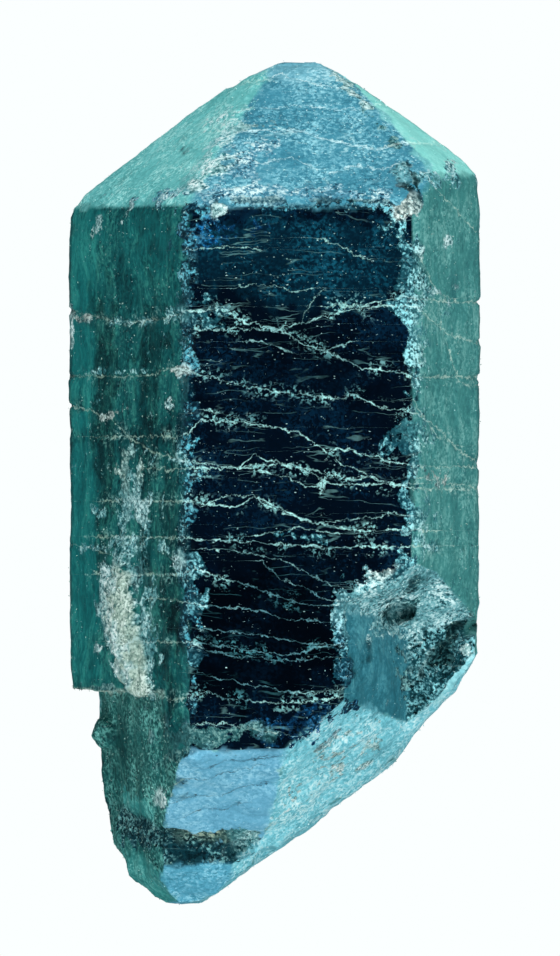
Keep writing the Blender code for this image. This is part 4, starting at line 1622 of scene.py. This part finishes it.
@dataclass(frozen=True)
class CrumbFinish:
    """Crushed apatite and matrix: splinters that broke loose and stuck.

    They are pale and dull, because light scatters in their cracks.

    Attributes:
        name: the material's name.
        refraction: apatite's refractive index.
        rough: their roughness.
        grain: the width of the specks on them.
    """

    name: str = "crushed_apatite"
    refraction: float = 1.634
    rough: float = 0.38
    grain: Grain = Grain(0.12, 2.0, 0.5, 0.3, 0.7)

    def build(self) -> bpy.types.Material:
        """Builds the material; each splinter's own colour comes with the mesh."""
        material = bpy.data.materials.new(self.name)
        w = Wiring(material)
        tint = w.add("Attribute", attribute_name="tint", attribute_type="GEOMETRY").outputs["Vector"]
        metres = w.add("TexCoord").outputs["Object"]
        place = w.add("VectorMath", {0: metres, "Scale": 1 / MM}, operation="SCALE")
        level = w.add("MapRange", {0: self.grain.spread(w, place), 3: 0.7, 4: 1.2})
        colour = w.add("VectorMath", {0: tint, "Scale": level}, operation="SCALE")
        looks = {"Base Color": colour, "Roughness": self.rough, "IOR": self.refraction}
        w.add("OutputMaterial", {"Surface": w.add("BsdfPrincipled", looks)})
        return material


@dataclass
class Crumbs:
    """The splinters and crumbs that lie on bruised edges, along the fractures and in the crust.

    Attributes:
        per_crumble: how many lie on a square millimetre of fully crumbled ground.
        per_fleck: how many lie on a square millimetre of ground with the most flecks and painted glints.
        per_vein: how many lie on a square millimetre beside a through-going fracture.
        vein_reach: how far from a fracture they lie.
        least: the half width of the smallest, in millimetres.
        largest: the half width of the largest on the bare crystal.
        crust_growth: how much larger they are in the crust.
        stretch: how far its corners are pulled in and out, as the least and the most.
        skew: how far they are moved aside.
        breadth: its breadth as a share of its length, as the least and the most.
        thickness: its thickness, given in the same way.
        sink: how deep a splinter's middle lies under the surface, as a share of its half width.
        seed: the seed of every random draw.
    """

    per_crumble: float = 8.0
    per_fleck: float = 0.5
    per_vein: float = 5.0
    vein_reach: float = 0.25
    least: float = 0.035
    largest: float = 0.09
    crust_growth: float = 0.7
    stretch: tuple[float, float] = (0.55, 1.25)
    skew: float = 0.25
    breadth: tuple[float, float] = (0.5, 0.9)
    thickness: tuple[float, float] = (0.35, 0.8)
    sink: float = 0.1
    seed: int = 5

    # Every splinter is an octahedron, pulled and squeezed out of shape
    CORNERS = np.array(((1, 0, 0), (-1, 0, 0), (0, 1, 0), (0, -1, 0), (0, 0, 1), (0, 0, -1)), dtype=float)
    FACES = ((0, 2, 4), (2, 1, 4), (1, 3, 4), (3, 0, 4), (2, 0, 5), (1, 2, 5), (3, 1, 5), (0, 3, 5))

    def build(self, surface: Surface, spacing: float, finish: CrumbFinish) -> bpy.types.Object:
        """Scatters the splinters and joins them in one mesh.

        Args:
            surface: what the crystal is like at each of its points.
            spacing: how far apart those points are.
            finish: the splinters' finish.

        Returns:
            The splinters' object.
        """
        rng = np.random.default_rng(self.seed)
        rows = self._chosen(rng, surface, spacing)
        count = len(rows)
        crust = surface.crust[rows]
        half = np.exp(rng.uniform(np.log(self.least), np.log(self.largest), count))
        half *= 1 + self.crust_growth * crust
        shape = self.CORNERS[None] * rng.uniform(*self.stretch, (count, 6, 1))
        shape += rng.uniform(-self.skew, self.skew, (count, 6, 3))
        flatness = (np.ones(count), rng.uniform(*self.breadth, count), rng.uniform(*self.thickness, count))
        shape *= (half[:, None] * np.stack(flatness, axis=1))[:, None, :]
        middle = surface.places[rows] - surface.normals[rows] * (half * self.sink)[:, None]
        middle += rng.uniform(-0.5, 0.5, (count, 3)) * spacing
        corners = np.einsum("nij,nkj->nki", self._turns(rng, count), shape) + middle[:, None, :]
        corners[..., 2] = np.maximum(corners[..., 2], 0.0)
        faces = (np.array(self.FACES)[None] + 6 * np.arange(count)[:, None, None]).reshape(-1, 3)
        mesh = bpy.data.meshes.new("crystal_crumbs")
        mesh.from_pydata((corners.reshape(-1, 3) * MM).tolist(), [], faces.tolist())
        tint = np.repeat(self._tints(rng, surface.tones[rows]), 6, axis=0)
        layer = mesh.attributes.new("tint", "FLOAT_VECTOR", "POINT")
        layer.data.foreach_set("vector", tint.astype(np.float32).ravel())
        mesh.materials.append(finish.build())
        crumbs = bpy.data.objects.new("crystal_crumbs", mesh)
        bpy.context.scene.collection.objects.link(crumbs)
        return crumbs

    def _chosen(self, rng: np.random.Generator, surface: Surface, spacing: float) -> np.ndarray:
        """Draws the points that get a splinter, more of them where the ground is crumbled or cracked."""
        tones = surface.tones
        through = sum(f.reach is Reach.THROUGH for f in FRACTURES)
        near = np.min(np.abs(surface.signed[:through]), axis=0)
        cluster = ramp(NoiseField(41).layered(surface.places, 1.8, 2), -0.15, 0.45)
        density = self.per_crumble * tones[:, 12] * tones[:, 14] + self.per_fleck * tones[:, 14]
        density += self.per_vein * cluster * np.exp(-((near / self.vein_reach) ** 2))
        density[surface.places[:, 2] < 0.3] = 0.0
        return np.flatnonzero(rng.random(len(density)) < density * spacing**2)

    @staticmethod
    def _turns(rng: np.random.Generator, count: int) -> np.ndarray:
        """Draws a random turn for each splinter, as one matrix each."""
        matrices, _ = np.linalg.qr(rng.normal(size=(count, 3, 3)))
        return matrices * np.sign(np.linalg.det(matrices))[:, None, None]

    @staticmethod
    def _tints(rng: np.random.Generator, tones: np.ndarray) -> np.ndarray:
        """Draws each splinter's colour between the ground's mid and palest tones."""
        share = rng.uniform(0.3, 1.0, (len(tones), 1))
        pale = np.maximum(tones[:, 6:9], tones[:, 9:12])
        return tones[:, 3:6] + (pale - tones[:, 3:6]) * share


@dataclass
class Studio:
    """A white sweep, soft lights round the sides and a camera straight above.

    Attributes:
        floor_size: the floor's width.
        floor_gap: how far it lies under the crystal.
        paper: the floor's colour as the crystal mirrors it and is lit by it.
        sweep: the floor's colour as the camera sees it.
        glow: the colour of the lamps and the surroundings.
        camera_height: how far above the crystal's outline the camera hangs.
        outline_level: the height at which the crystal is widest, near the middle of its depth.
        sensor: the width of the camera's sensor.
        lamp_distance: how far each lamp hangs from the crystal's middle.
        lamp_size: a lamp's width and height.
        lamps: each lamp's azimuth and elevation in degrees, and its power in watts.
    """

    floor_size: float = 6000.0
    floor_gap: float = 0.02
    paper: str = "#3c4a4c"
    sweep: str = "#fbffff"
    glow: str = "#eaffff"
    camera_height: float = 1200.0
    outline_level: float = 9.0
    sensor: float = 36.0
    lamp_distance: float = 420.0
    lamp_size: tuple[float, float] = (300.0, 220.0)
    lamps: tuple[tuple[float, float, float], ...] = (
        (15, 42, 1.0), (95, 42, 1.08), (180, 42, 0.5), (265, 42, 1.08)
    )

    def build(self) -> None:
        """Builds the floor, the world, the lights and the camera."""
        self._floor()
        self._world()
        self._lights()
        self._camera()
        bpy.context.scene.view_settings.view_transform = "Standard"

    def _floor(self) -> None:
        """Makes the pale floor, which is lit evenly from within as a light table is."""
        half = self.floor_size * MM / 2
        mesh = bpy.data.meshes.new("floor")
        corners = [(-half, -half, 0), (half, -half, 0), (half, half, 0), (-half, half, 0)]
        mesh.from_pydata(corners, [], [(0, 1, 2, 3)])
        floor = bpy.data.objects.new("floor", mesh)
        floor.location.z = -self.floor_gap * MM
        bpy.context.scene.collection.objects.link(floor)
        material = bpy.data.materials.new("white_sweep")
        w = Wiring(material)
        seen = w.add("LightPath").outputs["Is Camera Ray"]
        paper = w.add("BsdfDiffuse", {"Color": (*linear(self.paper), 1)})
        sweep = w.add("Emission", {"Color": (*linear(self.sweep), 1), "Strength": 1.0})
        w.add("OutputMaterial", {"Surface": w.add("MixShader", {0: seen, 1: paper, 2: sweep})})
        mesh.materials.append(material)

    def _world(self) -> None:
        """Makes surroundings that are pale near the horizon and dark overhead."""
        world = bpy.data.worlds.new("studio")
        bpy.context.scene.world = world
        w = Wiring(world)
        way = w.add("TexCoord").outputs["Generated"]
        height = w.add("SeparateXYZ", {0: way}).outputs[2]
        level = w.add("MapRange", {0: height, 1: 0.15, 2: 0.75, 3: 0.55, 4: 0.01})
        seen = w.add("LightPath").outputs["Is Camera Ray"]
        strength = w.add("Mix", {0: seen, "A": level, "B": 1.0}, data_type="FLOAT")
        glow = w.add("Background", {"Color": (*linear(self.glow), 1), "Strength": strength})
        w.add("OutputWorld", {"Surface": glow})

    def _lights(self) -> None:
        """Hangs four soft panels round the crystal, high enough to rake over it."""
        for azimuth, elevation, power in self.lamps:
            data = bpy.data.lights.new(f"panel_{azimuth}", "AREA")
            data.shape = "RECTANGLE"
            data.size, data.size_y = (size * MM for size in self.lamp_size)
            data.energy = power
            data.color = linear(self.glow)
            lamp = bpy.data.objects.new(data.name, data)
            turn, rise = math.radians(azimuth), math.radians(elevation)
            way = Vector((math.cos(turn) * math.cos(rise), math.sin(turn) * math.cos(rise), math.sin(rise)))
            lamp.location = way * self.lamp_distance * MM
            lamp.rotation_euler = (-way).to_track_quat("-Z", "Y").to_euler()
            lamp.visible_camera = False
            # The crystal mirrors the surroundings alone, so its rounded edges show no pale band
            lamp.visible_glossy = False
            bpy.context.scene.collection.objects.link(lamp)

    def _camera(self) -> None:
        """Places the camera straight above, with the photograph's framing."""
        data = bpy.data.cameras.new("camera")
        data.sensor_width = self.sensor
        tall = PHOTO.size_px[1] * PHOTO.mm_per_px
        data.lens = self.sensor * self.camera_height / tall
        camera = bpy.data.objects.new("camera", data)
        middle = PHOTO.view_centre()
        camera.location = (middle[0] * MM, middle[1] * MM, (self.camera_height + self.outline_level) * MM)
        bpy.context.scene.collection.objects.link(camera)
        bpy.context.scene.camera = camera


def main() -> None:
    """Builds the crystal and its studio, and reports each piece."""
    logging.basicConfig(level=logging.INFO, format="%(name)s: %(message)s")
    Studio().build()
    LOG.info("studio built")
    skin = CrystalSkin()
    crystal = skin.build(ApatiteFinish())
    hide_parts(skin.node)
    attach(crystal, "root")
    LOG.info("crystal skin: %d faces, %d points", len(crystal.data.polygons), len(crystal.data.vertices))
    crumbs = Crumbs().build(skin.surface, skin.voxel, CrumbFinish())
    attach(crumbs, "root")
    LOG.info("crumbs: %d faces", len(crumbs.data.polygons))


if __name__ == "__main__":
    main()
